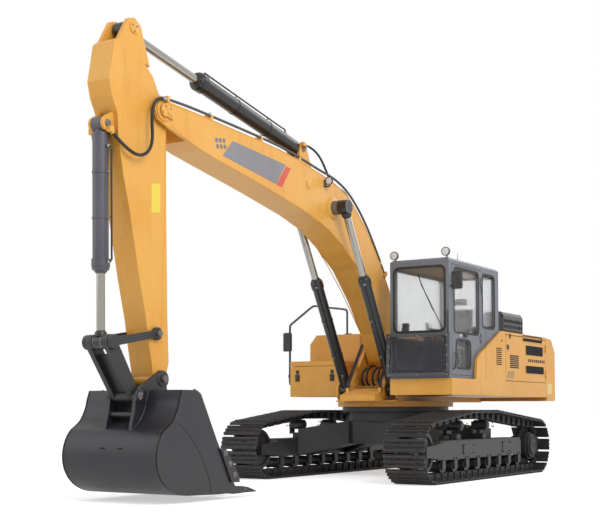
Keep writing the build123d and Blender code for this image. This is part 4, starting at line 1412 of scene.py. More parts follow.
                # Painted shade: dark marks where the mud openings are.
                for row in (-0.085, 0.085):
                    marks.append((at(middle + row, forward, height) + Vector((0.0, up, ahead)) * 0.031
                                  + facing * 0.0006, facing, LEFT))
                for row in (-0.2, -0.165, 0.165, 0.2):
                    for shift in (-0.031, 0.031):
                        bolts.add(at(middle + row, forward, height) + Vector((0.0, up, ahead)) * shift,
                                  facing)
            belt = shoes.grow(f"track_shoes_{word}", stations, TRACK_STEEL, {})
            publish(belt, TRACK_STEEL, "undercarriage")
            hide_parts(f"track_{word}")
            piece = tree.grow(f"shoe_openings_{word}", marks, SHADE_FILL, {})
            publish(piece, SHADE_FILL, "undercarriage")
            bolts.piece(f"shoe_bolts_{word}", TRACK_STEEL, "undercarriage", "track_steel", 0.011, 0.008)


# ------------------------------------------------------------------ boom
@dataclass
class BoomTrim:
    """The boom's bare panel and red bar, lamps, weld beads, pin heads and hose ends.

    Attributes:
        side: Middle to the boom's side plate.
        nose: Boom nose's pin.
        lift: Pin of the boom cylinders' eyes.
        lamp: Middle of a work lamp.
        panel: Outline of the grey panel.
        bar: Outline of the red bar.
        belly: Lower edge of the side plate.
        crest: Upper edge of the side plate.
    """

    side: float = 0.21
    nose: Pair = (5.912, 4.249)
    lift: Pair = (2.22, 3.72)
    lamp: Pair = (2.448, 4.047)
    panel: list[Pair] = field(default_factory=lambda: [(4.6, 4.172), (3.43, 4.098), (3.645, 3.812),
                                                       (4.8, 3.958)])
    bar: list[Pair] = field(default_factory=lambda: [(3.42, 4.078), (3.3, 4.072), (3.52, 3.79),
                                                     (3.64, 3.805)])
    belly: list[Pair] = field(default_factory=lambda: [
        (0.697, 2.095), (1.306, 2.7), (1.986, 3.24), (2.44, 3.43), (2.908, 3.555), (3.835, 3.72),
        (5.236, 3.942), (5.78, 4.1)])
    crest: list[Pair] = field(default_factory=lambda: [
        (0.576, 2.73), (0.949, 3.2), (1.34, 3.59), (1.77, 3.92), (2.17, 4.06), (2.579, 4.14),
        (3.558, 4.27), (5.141, 4.345), (5.78, 4.355)])

    def build(self) -> None:
        """Makes everything that rides on the boom."""
        self.panels()
        self.beads()
        self.lamps()
        self.pins()
        self.fittings()

    def panels(self) -> None:
        """A plain grey panel, a red bar and six squares on both sides."""
        for side, word in SIDES:
            face = (side * self.side, side * (self.side + FILM))
            Form().plate(self.panel, face).piece(f"boom_panel_{word}", PANEL_GREY, "boom", "dark_grey", 0.0)
            Form().plate(self.bar, face).piece(f"boom_bar_{word}", BAR_RED, "boom", "yellow_paint", 0.0)
            squares = Form()
            for column in range(3):
                for row in range(2):
                    forward = 4.9 - 0.075 * column - 0.02 * row
                    height = 4.095 - 0.07 * row + 0.01 * column
                    squares.block(face, (forward, forward + 0.052), (height, height + 0.05), 4.0)
            squares.piece(f"boom_squares_{word}", SQUARE_GREY, "boom", "dark_grey", 0.0)

    def beads(self) -> None:
        """Weld beads along the crest and belly, and round the bosses."""
        weld = Form()
        for side in (1, -1):
            for line, shift in ((self.crest, -0.01), (self.belly, 0.01)):
                weld.bent([at(side * (self.side - 0.001), forward, height + shift)
                           for forward, height in line], 0.006, 8, 8)
            weld.bent([at(side * (self.side + 0.002), *place)
                       for place in arc(self.lift, 0.151, range(0, 361, 15))], 0.006, 8, 2)
        weld.piece("boom_welds", AMBER, "boom", "yellow_paint", 0.0)

    def lamps(self) -> None:
        """A round work lamp on a bracket on each side."""
        for side, word in SIDES:
            foot = at(side * (self.side + 0.01), *self.lamp)
            head = foot + Vector((side * 0.062, 0.0, 0.0))
            ahead = Vector((0.0, -1.0, -0.12)).normalized()
            shell = Form().block((side * self.side, side * (self.side + 0.075)),
                                 (self.lamp[0] - 0.028, self.lamp[0] + 0.028),
                                 (self.lamp[1] - 0.075, self.lamp[1] - 0.066))
            shell.block((side * self.side, side * (self.side + 0.006)),
                        (self.lamp[0] - 0.03, self.lamp[0] + 0.03),
                        (self.lamp[1] - 0.075, self.lamp[1] + 0.02))
            shell.turned(head - ahead * 0.045, ahead, [(0.0, 0.018), (0.008, 0.03), (0.035, 0.05),
                                                       (0.042, 0.056), (0.066, 0.056), (0.066, 0.049),
                                                       (0.058, 0.047), (0.058, TIP)])
            shell.rod(head + Vector((0, 0, -0.07)), head + Vector((0, 0, -0.045)), 0.009)
            shell.piece(f"boom_lamp_{word}", PLASTIC, "boom", "dark_grey", 0.001)
            glass = Form().turned(head + ahead * 0.008, ahead, [(0.0, 0.0475), (0.006, 0.047), (0.01, 0.03),
                                                                 (0.012, TIP)])
            glass.piece(f"boom_lamp_glass_{word}", LAMP_GLASS, "boom", "clear_glass", 0.0)

    def pins(self) -> None:
        """Pin heads with keeper plates and bolts at the nose."""
        heads, bolts = Form(), Bolts()
        for side in (1, -1):
            out = outward(side)
            face = side * (self.side + 0.025)
            heads.turned(at(face - side * 0.004, *self.nose), out,
                         [(0.0, 0.075), (0.012, 0.075), (0.016, 0.07), (0.016, 0.03), (0.013, 0.026),
                          (0.013, TIP)])
            heads.block((face - side * 0.016, face + side * 0.006),
                        (self.nose[0] - 0.15, self.nose[0] - 0.052),
                        (self.nose[1] - 0.07, self.nose[1] + 0.07))
            for height in (-0.038, 0.038):
                bolts.add(at(face + side * 0.005, self.nose[0] - 0.098, self.nose[1] + height), out)
            bolts.ring(at(face + side * 0.011, *self.nose), out, 0.052, 3, 90)
        heads.piece("nose_pin_heads", AMBER, "boom", "yellow_paint", 0.0015)
        bolts.piece("nose_pin_bolts", AMBER, "boom", "yellow_paint", 0.013, 0.009)

    def fittings(self) -> None:
        """Silver hose ends on the pipes and at the arm cylinder, with the pipes' clamp bolts."""
        ends, clamps = Form(), Bolts()
        hoses = Hoses()
        for side in (1, -1):
            for line, radius in ((hoses.crowd, 0.015), (hoses.nose, 0.018)):
                route = hoses.places(line, side)
                ahead = (route[1] - route[0]).normalized()
                ends.turned(route[0] - ahead * 0.012, ahead,
                            [(0.0, radius * 1.25), (0.022, radius * 1.25), (0.024, radius * 1.55),
                             (0.046, radius * 1.55), (0.048, radius * 1.22), (0.085, radius * 1.18),
                             (0.088, radius * 0.9)], 6)
            route = hoses.places(hoses.crowd, side)
            back = (route[-2] - route[-1]).normalized()
            ends.turned(route[-1] + back * 0.075, -back, [(0.0, 0.014), (0.002, 0.018), (0.04, 0.018),
                                                          (0.042, 0.021), (0.07, 0.021)], 6)
            for forward, height, lean in ((0.855, 3.125, 52), (3.07, 4.245, 8), (3.965, 4.315, 3),
                                          (5.01, 4.372, 3)):
                up = Vector((0.0, math.sin(math.radians(lean)), math.cos(math.radians(lean))))
                for across in (0.15, 0.182):
                    clamps.add(at(side * across, forward, height) + up * 0.05, up)
        ends.piece("boom_hose_ends", FITTING, "boom", "pin_steel", 0.0008)
        clamps.piece("pipe_clamp_bolts", PIN_STEEL, "boom", "pin_steel", 0.008, 0.006)


# ------------------------------------------------------------------ arm and bucket
@dataclass
class ArmTrim:
    """Pin caps, weld beads and bare plates of the arm, and the guide bars and web of its links.

    Attributes:
        side: Middle to the arm's side plate.
        crowd: Pin of the arm cylinder's eye.
        guide: Pin of the guide links on the arm.
        ear: Pin of the H-link on the bucket.
        link_eye: Pin that joins guide links, H-link and bucket cylinder.
        web: Middle to the H-link's plates.
    """

    side: float = 0.15
    crowd: Pair = (6.349, 5.058)
    guide: Pair = (5.955, 1.8)
    ear: Pair = (6.265, 1.125)
    link_eye: Pair = (6.66, 1.68)
    web: float = 0.095

    def build(self) -> None:
        """Makes the arm's trim and the links' trim."""
        plate = Form()
        for side in (1, -1):
            face = side * self.side
            plate.plate([(5.884, 3.452), (6.04, 3.428), (6.04, 3.11), (5.884, 3.132)],
                        (face, face + side * FILM))
        plate.piece("arm_bare_plates", BARE_YELLOW, "arm", "yellow_paint", 0.0)
        self.caps()
        self.beads()
        self.links()

    def links(self) -> None:
        """Slim guide bars between round bosses, and the web between the H-link's plates."""
        low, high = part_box("guide_links")
        eye, pivot, ear = self.link_eye, self.guide, self.ear
        run = math.hypot(pivot[0] - eye[0], pivot[1] - eye[1])
        along = ((pivot[0] - eye[0]) / run, (pivot[1] - eye[1]) / run)
        bars = Form()
        for side, outer in ((1, high[0]), (-1, low[0])):
            out = outward(side)
            near, far = outer - side * 0.04, outer
            for place, radius in ((pivot, 0.07), (eye, 0.078)):
                bars.turned(at(near, *place), out, [(0.0, TIP), (0.0, radius), (0.036, radius),
                                                    (0.04, radius - 0.004), (0.04, TIP)])
            edge = [(eye[0] - along[1] * half + along[0] * start, eye[1] + along[0] * half + along[1] * start)
                    for half, start in ((0.046, 0.0), (0.04, run), (-0.04, run), (-0.046, 0.0))]
            bars.plate(edge, (near + side * 0.004, far - side * 0.004))
        piece = bars.piece("guide_bars", BLACK_PAINT, "guide_links", "dark_grey", 0.002)
        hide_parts("guide_links")
        drop = math.hypot(ear[0] - eye[0], ear[1] - eye[1])
        down = ((ear[0] - eye[0]) / drop, (ear[1] - eye[1]) / drop)
        web = Form()
        web.plate([(eye[0] + down[0] * start - down[1] * half, eye[1] + down[1] * start + down[0] * half)
                   for half, start in ((0.008, 0.15), (0.008, drop - 0.05), (-0.008, drop - 0.05),
                                       (-0.008, 0.15))], (-self.web, self.web))
        web.piece("h_link_web", BLACK_PAINT, "h_link", "dark_grey", 0.002)

    def caps(self) -> None:
        """Keeper plates and bolts on the arm's and the links' pins."""
        for name, body, slot, finish, place, radius, node in (
                ("arm", "arm", "yellow_paint", AMBER, self.crowd, 0.066, "arm_pins"),
                ("link", "h_link", "dark_grey", DARK_PAINT, self.link_eye, 0.055, "link_pins"),
                ("ear", "bucket", "bucket_steel", BUCKET_STEEL, self.ear, 0.055, "bucket_pins")):
            caps, bolts = Form(), Bolts()
            low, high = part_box(node)
            for side, reach in ((1, high[0]), (-1, low[0])):
                face = side * self.side if place is self.crowd else reach - side * 0.013
                caps.turned(at(face, *place), outward(side),
                            [(0.0, radius), (0.008, radius), (0.0125, radius - 0.006), (0.0125, 0.02),
                             (0.01, 0.018), (0.01, TIP)])
                bolts.ring(at(face + side * 0.012, *place), outward(side), radius * 0.62, 3, 30)
            if name == "arm":
                caps.rod(at(-self.side, *self.crowd), at(self.side, *self.crowd), 0.04)
            caps.piece(f"{name}_pin_caps", finish, body, slot, 0.0012)
            bolts.piece(f"{name}_pin_bolts", PIN_STEEL, body, "pin_steel", 0.008, 0.006)

    def beads(self) -> None:
        """Weld beads along the arm's box."""
        weld = Form()
        for side in (1, -1):
            weld.bent([at(side * (self.side - 0.001), *place) for place in
                       ((5.8, 3.96), (5.8, 3.5), (5.815, 2.9), (5.84, 2.2), (5.85, 1.62))],
                      0.005, 8, 8)
        weld.piece("arm_welds", AMBER, "arm", "yellow_paint", 0.0)


@dataclass
class BucketTrim:
    """The bucket's shell, tooth points, cutters, bolts, pins and weld beads.

    Attributes:
        half: Half the bucket's width.
        cutter: Thickness of a side cutter.
        teeth: Teeth along the lip.
        spread: First to last tooth's middle.
        sheet: Thickness of the shell and cheeks.
        ear_inner: Middle to the inner face of an ear.
        pivot: The bucket's pin on the arm.
        ear: The pin of the H-link.
        back: Outline of the shell from the top plate round to the lip.
        front: Front edge of a cheek from the lip up.
        rib: Outline of an ear's rib between its two bosses.
        seam: Route of a cheek's weld bead.
        edge: Outline of a side cutter.
        bolted: Bolts of a side cutter.
        adapter: Place forward, half width, floor and top at each station of a tooth's adapter.
        point: The same for the tooth's point.
        pin: Place of the pin that holds a point.
    """

    half: float = 0.65
    cutter: float = 0.022
    teeth: int = 5
    spread: float = 1.16
    sheet: float = 0.028
    ear_inner: float = 0.156
    pivot: Pair = (5.873, 1.31)
    ear: Pair = (6.265, 1.125)
    back: tuple[Pair, ...] = (
        (6.11, 1.188), (6.15, 1.09), (6.17, 1.015), (6.205, 0.94), (6.255, 0.868), (6.325, 0.812),
        (6.4, 0.765), (6.46, 0.7), (6.505, 0.61), (6.527, 0.505), (6.518, 0.4), (6.48, 0.31),
        (6.415, 0.228), (6.32, 0.158), (6.21, 0.112), (6.085, 0.084), (5.9, 0.074), (5.5, 0.061),
        (5.33, 0.0605), (5.15, 0.0602))
    front: tuple[Pair, ...] = ((5.15, 0.12), (5.44, 0.538), (5.754, 1.067), (5.808, 1.147), (5.9, 1.188))
    rib: tuple[Pair, ...] = ((5.8, 1.18), (6.1, 1.17), (6.17, 0.96), (6.3, 0.8), (6.395, 0.745),
                             (6.385, 0.83), (6.345, 0.96))
    seam: tuple[Pair, ...] = ((6.245, 0.868), (6.1, 0.8), (5.96, 0.69), (5.83, 0.545), (5.72, 0.39),
                              (5.64, 0.235), (5.59, 0.08))
    edge: tuple[Pair, ...] = ((5.465, 0.56), (5.355, 0.552), (5.1, 0.24), (5.095, 0.175), (5.245, 0.18))
    bolted: tuple[Pair, ...] = ((5.372, 0.505), (5.285, 0.385), (5.195, 0.262))
    adapter: tuple[Station, ...] = ((5.155, 0.054, 0.046, 0.128), (5.02, 0.054, 0.046, 0.128),
                                    (4.96, 0.047, 0.048, 0.124), (4.925, 0.04, 0.056, 0.116))
    point: tuple[Station, ...] = ((4.985, 0.046, 0.05, 0.122), (4.88, 0.046, 0.047, 0.112),
                                  (4.76, 0.042, 0.0455, 0.08), (4.686, 0.034, 0.045, 0.058),
                                  (4.68, 0.03, 0.046, 0.054))
    pin: Pair = (4.93, 0.088)

    def build(self) -> None:
        """Makes everything that rides on the bucket."""
        self.shell()
        self.points()
        self.cutters()
        self.fastenings()

    def fastenings(self) -> None:
        """The cutters' bolts, the tooth pins and the weld beads of cheeks and lip."""
        bolts, welds, pins = Bolts(), Form(), Form()
        for side in (1, -1):
            out = outward(side)
            face = side * (self.half + self.cutter)
            for place in self.bolted:
                bolts.add(at(face, *place), out)
            welds.bent([at(side * self.half, *place) for place in self.seam], 0.006, 8, 8)
        bolts.piece("side_cutter_bolts", PIN_STEEL, "bucket", "bucket_steel", 0.022, 0.016)
        for across in self.middles(self.teeth):
            for side in (1, -1):
                pins.disc(at(across + side * 0.0465, *self.pin), outward(side), 0.014, 0.005, sides=20)
        pins.piece("tooth_pins", PIN_STEEL, "bucket", "bucket_steel", 0.0)
        for across in self.middles(self.teeth - 1, 0.5):
            welds.bent([at(across - 0.1, 5.085, 0.128), at(across + 0.1, 5.085, 0.128)], 0.005, 8, 4)
        welds.piece("bucket_welds", BUCKET_STEEL, "bucket", "bucket_steel", 0.0)

    def middles(self, count: int, shift: float = 0.0) -> list[float]:
        """Places across the lip of the teeth or, shifted by half a step, of the gaps between them."""
        return [((index + shift) / (self.teeth - 1) - 0.5) * self.spread for index in range(count)]

    def shell(self) -> None:
        """The rounded shell between its cheeks and the ears on their ribs, in place of the plain bucket."""
        line = smooth_line([Vector((*place, 0.0)) for place in self.back], 5)
        fine = [(point.x, point.y) for point in line]
        inner = []
        for index, point in enumerate(fine):
            before, after = fine[max(index - 1, 0)], fine[min(index + 1, len(fine) - 1)]
            run = math.dist(before, after)
            inner.append((point[0] + (after[1] - before[1]) / run * self.sheet,
                          point[1] - (after[0] - before[0]) / run * self.sheet))
        shell = Form()
        for side in (1, -1):
            shell.plate(fine + list(self.front), (side * (self.half - self.sheet), side * self.half))
            shell.bent([at(side * (self.half - 0.012), *place) for place in self.front], 0.014, 10, 5)
        shell.plate(fine + list(reversed(inner)), (0.002 - self.half, self.half - 0.002))
        shell.block((0.01 - self.half, self.half - 0.01), (5.89, 6.11), (1.15, 1.1885))
        shell.block((0.01 - self.half, self.half - 0.01), (5.15, 5.33), (0.0605, 0.118))
        for side in (1, -1):
            edges = (side * self.ear_inner, side * (self.ear_inner + 0.04))
            ring = arc(self.pivot, 0.095, range(62, 242, 15))
            nose = arc(self.ear, 0.075, range(-30, 63, 15))
            shell.plate(ring + list(self.rib) + nose, edges)
            for place, radius, thick in ((self.pivot, 0.088, 0.012), (self.ear, 0.07, 0.01)):
                shell.disc(at(edges[1] - side * 0.002, *place), outward(side), radius, thick,
                           (0.003, 0.004), 36)
        shell.rod(at(-self.ear_inner, 6.3, 0.93), at(self.ear_inner, 6.3, 0.93), 0.03)
        piece = shell.piece("bucket_shell", BUCKET_STEEL, "bucket", "bucket_steel", 0.0, 25.0)
        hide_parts("bucket")
        # Two thin dark slits on the back of the shell, in the near-black fill that paints shade.
        marks = Form()
        for across in (-0.1, 0.14):
            marks.block((across - 0.03, across + 0.03), (6.5, 6.5295), (0.575, 0.583))
        marks.piece("shell_marks", SHADE_FILL, "bucket", "bucket_steel", 0.0)

    def points(self) -> None:
        """Tapered tooth points on their adapters, which stand for the plain teeth."""
        teeth = Form()
        for across in self.middles(self.teeth):
            for stations in (self.adapter, self.point):
                rings = [[teeth.mesh.verts.new(at(across + x, forward, z)) for x, z in
                          ((-half, low), (half, low), (half, high), (-half, high))]
                         for forward, half, low, high in stations]
                teeth.skin(rings)
        piece = teeth.piece("bucket_points", BUCKET_STEEL, "bucket", "bucket_steel", 0.003)
        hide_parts("bucket_teeth")

    def cutters(self) -> None:
        """Bolted side cutters on the bucket's cheeks."""
        plates = Form()
        for side in (1, -1):
            plates.plate(self.edge, (side * self.half, side * (self.half + self.cutter)))
        plates.piece("side_cutters", BUCKET_STEEL, "bucket", "bucket_steel", 0.002)


# ------------------------------------------------------------------ cylinders
class Flank(Enum):
    """The side of a cylinder along which its pipe runs."""

    OVER = 1
    UNDER = -1
    LEFT = 0


@dataclass(frozen=True)
class Cylinder:
    """One kind of cylinder.

    Attributes:
        name: What its nodes' and bodies' names start with.
        base: Base pin.
        eye: Pin of the rod's eye.
        length: Length of the tube.
        radius: Radius of the tube.
        rod: Radius of the rod.
        end: Radius and width of the rod's eye.
        paint: Paint of the tube's head.
        flank: Side of its pipe.
        middles: Distances from the machine's middle.
    """

    name: str
    base: Pair
    eye: Pair
    length: float
    radius: float
    rod: float
    end: Pair
    paint: Paint
    flank: Flank
    middles: tuple[float, ...] = (0.0,)

    def body(self, kind: str) -> str:
        """The body of its tube or rod, or of both tubes or rods."""
        return f"{self.name}_{kind}" + ("s" if len(self.middles) > 1 else "")

    def side(self, ahead: Vector) -> Vector:
        """Direction from the tube's middle to its pipe."""
        turn = self.flank.value
        return Vector((0.0, turn * ahead.z, -turn * ahead.y)) if turn else LEFT


@dataclass
class Rams:
    """Heads, bands, pipes and rod eyes of the cylinders.

    Attributes:
        kinds: The three kinds of cylinder.
        stand: Gap between a tube and its pipe's middle.
        pipe: Radius of a pipe.
    """

    kinds: tuple[Cylinder, ...] = (
        Cylinder("boom_cylinder", (0.8, 1.27), (2.22, 3.72), 1.75, 0.08, 0.05, (0.095, 0.15),
                 GLOSS_BLACK, Flank.UNDER, (0.385, -0.385)),
        Cylinder("arm_cylinder", (2.82, 4.43), (6.349, 5.058), 2.23, 0.098, 0.052, (0.085, 0.15),
                 GLOSS_BLACK, Flank.OVER),
        Cylinder("bucket_cylinder", (6.7, 3.96), (6.66, 1.68), 1.5, 0.085, 0.045, (0.075, 0.11),
                 CHARCOAL, Flank.LEFT))
    stand: float = 0.03
    pipe: float = 0.011

    def build(self) -> None:
        """Dresses all three kinds of cylinder."""
        for kind in self.kinds:
            self.dress(kind)
            self.rod_ends(kind)

    def rod_ends(self, kind: Cylinder) -> None:
        """Makes the black forged eyes on a cylinder's rods.

        Args:
            kind: The cylinder.
        """
        reach, width = kind.end
        ends = Form()
        back = (at(0.0, *kind.base) - at(0.0, *kind.eye)).normalized()
        for middle in kind.middles:
            ends.turned(at(middle - width / 2 - 0.0008, *kind.eye), LEFT,
                        [(0.0, reach - 0.006), (0.006, reach + 0.0012), (width - 0.0044, reach + 0.0012),
                         (width + 0.0016, reach - 0.006)], 48)
            ends.turned(at(middle, *kind.eye) + back * reach * 0.8, back,
                        [(0.0, kind.rod + 0.022), (reach * 0.45, kind.rod + 0.02),
                         (reach * 0.75, kind.rod + 0.006), (reach * 0.8, kind.rod + 0.001)], 36)
        ends.piece(f"{kind.name}_rod_ends", GLOSS_BLACK, kind.body("rod"), "cylinder_black", 0.0)

    def dress(self, kind: Cylinder) -> None:
        """Makes one kind of cylinder's fittings.

        Args:
            kind: The cylinder.
        """
        radius, length, rod = kind.radius, kind.length, kind.rod
        head, pipes, bolts, silver = Form(), Form(), Bolts(), Form()
        ahead = (at(0.0, *kind.eye) - at(0.0, *kind.base)).normalized()
        above = kind.side(ahead)
        for middle in kind.middles:
            def on(distance: float, lift: float = 0.0, aside: float = 0.0) -> Vector:
                """A place along the tube, off its middle by lift and aside."""
                place = at(middle, *toward(kind.base, kind.eye, distance))
                return place + above * lift + LEFT * aside

            head.turned(on(length - 0.004), ahead,
                        [(0.0, radius * 1.1), (0.02, radius * 1.1), (0.026, radius * 1.02),
                         (0.04, radius * 0.98), (0.046, radius * 0.8), (0.058, radius * 0.78),
                         (0.062, rod + 0.01), (0.072, rod + 0.008), (0.072, rod + 0.0008),
                         (0.004, rod + 0.0008)])
            for turn in range(0, 360, 45):
                angle = math.radians(turn)
                aside = LEFT * math.cos(angle) + above * math.sin(angle)
                bolts.add(on(length + 0.02) + aside * radius * 0.93, ahead)
            near, far = length * 0.16, length - radius * 0.55
            lift = radius + self.stand
            pipes.bent([on(near, radius * 0.6, 0.03), on(near + 0.02, lift, 0.032),
                        on(near + 0.14, lift, 0.035), on(length * 0.5, lift, 0.035),
                        on(far - 0.14, lift, 0.035), on(far - 0.02, lift, 0.03),
                        on(far, radius * 0.6, 0.028)], self.pipe, 10, 6)
            for share in (0.34, 0.66):
                place = on(length * share)
                head.turned(place - ahead * 0.014, ahead, [(0.0, radius + 0.0008), (0.0, radius + 0.005),
                                                           (0.028, radius + 0.005), (0.028, radius + 0.0008)])
                silver.rod(place + above * radius + Vector((0.006, 0, 0)),
                           place + above * (lift + 0.016) + Vector((0.006, 0, 0)), 0.009, 12)
            for distance in (near, far):
                silver.turned(on(distance, radius * 0.86, 0.03), above,
                              [(0.0, 0.02), (0.014, 0.02), (0.015, 0.016), (0.026, 0.016)], 6)
        body = kind.body("tube")
        head.piece(f"{kind.name}_heads", kind.paint, body, "cylinder_black", 0.0008)
        pipes.piece(f"{kind.name}_pipes", GLOSS_BLACK, body, "cylinder_black", 0.0)
        silver.piece(f"{kind.name}_unions", FITTING, body, "pin_steel", 0.0006)
        bolts.piece(f"{kind.name}_head_bolts", PIN_STEEL, body, "pin_steel", 0.008, 0.006)


# ------------------------------------------------------------------ upper structure
@dataclass
class UpperTrim:
    """Stripes, handles, latches, bolts, grip tread and silencer of the upper structure.

    Attributes:
        side: Middle to the machine's side.
        hood: Height of the hood.
        tank: Place of the fuel tank's cap.
    """

    side: float = 1.445
    hood: float = 2.17
    tank: Pair = (-0.95, -0.25)

    def build(self) -> None:
        """Makes everything on the doors, the hood, the tank and the tool box."""
        self.stripes()
        self.handles()
        self.latches()
        self.deck()
        self.exhaust()

    def stripes(self) -> None:
        """Slanting stripes low on the side doors, and a pale patch at each rear corner."""
        for side, word in SIDES:
            bars = Form()
            face = (side * self.side, side * (self.side + FILM))
            for index in range(4):
                start = -0.895 - 0.07 * index
                bars.plate([(start, 1.465), (start - 0.03, 1.465), (start - 0.09, 1.575),
                            (start - 0.06, 1.575)], face)
            bars.piece(f"door_stripes_{word}", SQUARE_GREY, f"{word}_side_door", "dark_grey", 0.0)
            patch = Form().plate([(-2.655, 1.245), (-2.655, 1.41), (-2.86, 1.415), (-2.86, 1.245)], face)
            patch.piece(f"rear_patch_{word}", PALE_PATCH, "upper", "counterweight_iron", 0.0)

    def handles(self) -> None:
        """The side doors' paddle handles with their locks, the hood's catches and the side box's lock."""
        for side, word in SIDES:
            face = side * self.side
            trim = Form()
            trim.block((face, face + side * 0.004), (-0.985, -0.895), (1.905, 1.975))
            trim.block((face, face + side * 0.01), (-0.975, -0.905), (1.922, 1.948), 6.0)
            trim.disc(at(face, -0.94, 1.888), outward(side), 0.01, 0.005, (0.001, 0.002), 20)
            trim.piece(f"door_handle_{word}", PLASTIC, f"{word}_side_door", "frame_black", 0.0012)
            catch = Form()
            for forward in (-1.05, -2.42):
                catch.block((face, face + side * 0.006), (forward, forward + 0.05), (2.075, 2.15))
                catch.block((face, face + side * 0.012), (forward + 0.014, forward + 0.036), (2.085, 2.14))
            catch.piece(f"hood_catches_{word}", PLASTIC, "engine_hood", "frame_black", 0.0012)
        lock = Form().turned(at(self.side, -0.7, 2.025), LEFT,
                             [(0.0, 0.016), (0.005, 0.016), (0.007, 0.013), (0.007, 0.005), (0.004, 0.004),
                              (0.004, TIP)])
        lock.piece("side_box_lock", PLASTIC, "upper", "frame_black", 0.0)
        seam = Form().block((self.side - 0.002, self.side + 0.001), (-0.088, -0.084), (1.43, 2.165))
        seam.piece("side_box_seam", RUBBER, "upper", "frame_black", 0.0)

    def latches(self) -> None:
        """Two black draw latches on the tool box and their hooks on its lid."""
        ahead = SLEW_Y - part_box("tool_box")[0][1]
        for index, across in enumerate((-1.3, -0.69)):
            latch = Form()
            latch.block((across - 0.035, across + 0.035), (ahead, ahead + 0.01), (1.415, 1.52))
            latch.block((across - 0.026, across + 0.026), (ahead + 0.008, ahead + 0.024), (1.425, 1.505))
            latch.rod(at(across - 0.03, ahead + 0.02, 1.492), at(across + 0.03, ahead + 0.02, 1.492), 0.007)
            for wire in (across - 0.018, across + 0.018):
                latch.rod(at(wire, ahead + 0.018, 1.492), at(wire, ahead + 0.012, 1.512), 0.004)
            latch.piece(f"box_latch_{index + 1}", PLASTIC, "upper", "frame_black", 0.0015)
            hook = Form()
            hook.block((across - 0.026, across + 0.026), (ahead, ahead + 0.007), (1.53, 1.585))
            hook.block((across - 0.02, across + 0.02), (ahead + 0.006, ahead + 0.016), (1.556, 1.57))
            hook.piece(f"lid_hook_{index + 1}", PLASTIC, "tool_box_lid", "frame_black", 0.0015)

    def deck(self) -> None:
        """Bolts along the hood's edges, the fuel tank's cap and the tread on the tank."""
        bolts = Bolts()
        for across in (-1.271, 1.271):
            for forward in (-1.02, -1.35, -1.9, -2.3):
                bolts.add(at(across, forward, self.hood), UP)
        bolts.piece("hood_bolts", PIN_STEEL, "engine_hood", "pin_steel", 0.011, 0.008)
        cap = Form()
        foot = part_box("fuel_tank")[1][2]
        cap.disc(at(*self.tank, foot - 0.002), UP, 0.078, 0.03, (0.006, 0.008))
        for turn in range(0, 180, 60):
            angle = math.radians(turn)
            grip = Vector((math.cos(angle), math.sin(angle), 0.0)) * 0.05
            middle = at(*self.tank, foot + 0.036)
            cap.rod(middle - grip, middle + grip, 0.008, 10)
        cap.piece("tank_cap", PLASTIC, "upper", "frame_black", 0.001)
        sheet = Form()
        for column in range(9):
            for row in range(14):
                across = -1.36 + 0.095 * column
                forward = -0.78 + 0.066 * row
                if math.dist((across, forward), self.tank) > 0.11:
                    sheet.block((across, across + 0.052), (forward, forward + 0.01),
                                (self.hood - 0.0205, self.hood - 0.0165))
        sheet.piece("tank_grip_tread", AMBER, "upper", "yellow_paint", 0.0008)

    def exhaust(self) -> None:
        """The silencer under its cover, with its bands."""
        start, end = at(0.925, -2.38, 2.345), at(0.925, -1.66, 2.345)
        ahead = (end - start).normalized()
        drum = Form().turned(start, ahead, [(0.0, 0.06), (0.01, 0.125), (0.03, 0.135), (0.69, 0.135),
                                            (0.71, 0.125), (0.72, 0.06)])
        for along in (0.18, 0.54):
            drum.turned(start + ahead * along, ahead, [(0.0, 0.1355), (0.0, 0.139), (0.03, 0.139),
                                                       (0.03, 0.1355)])
        drum.piece("silencer", CAST_GREY, "engine_hood", "engine_grey", 0.001)


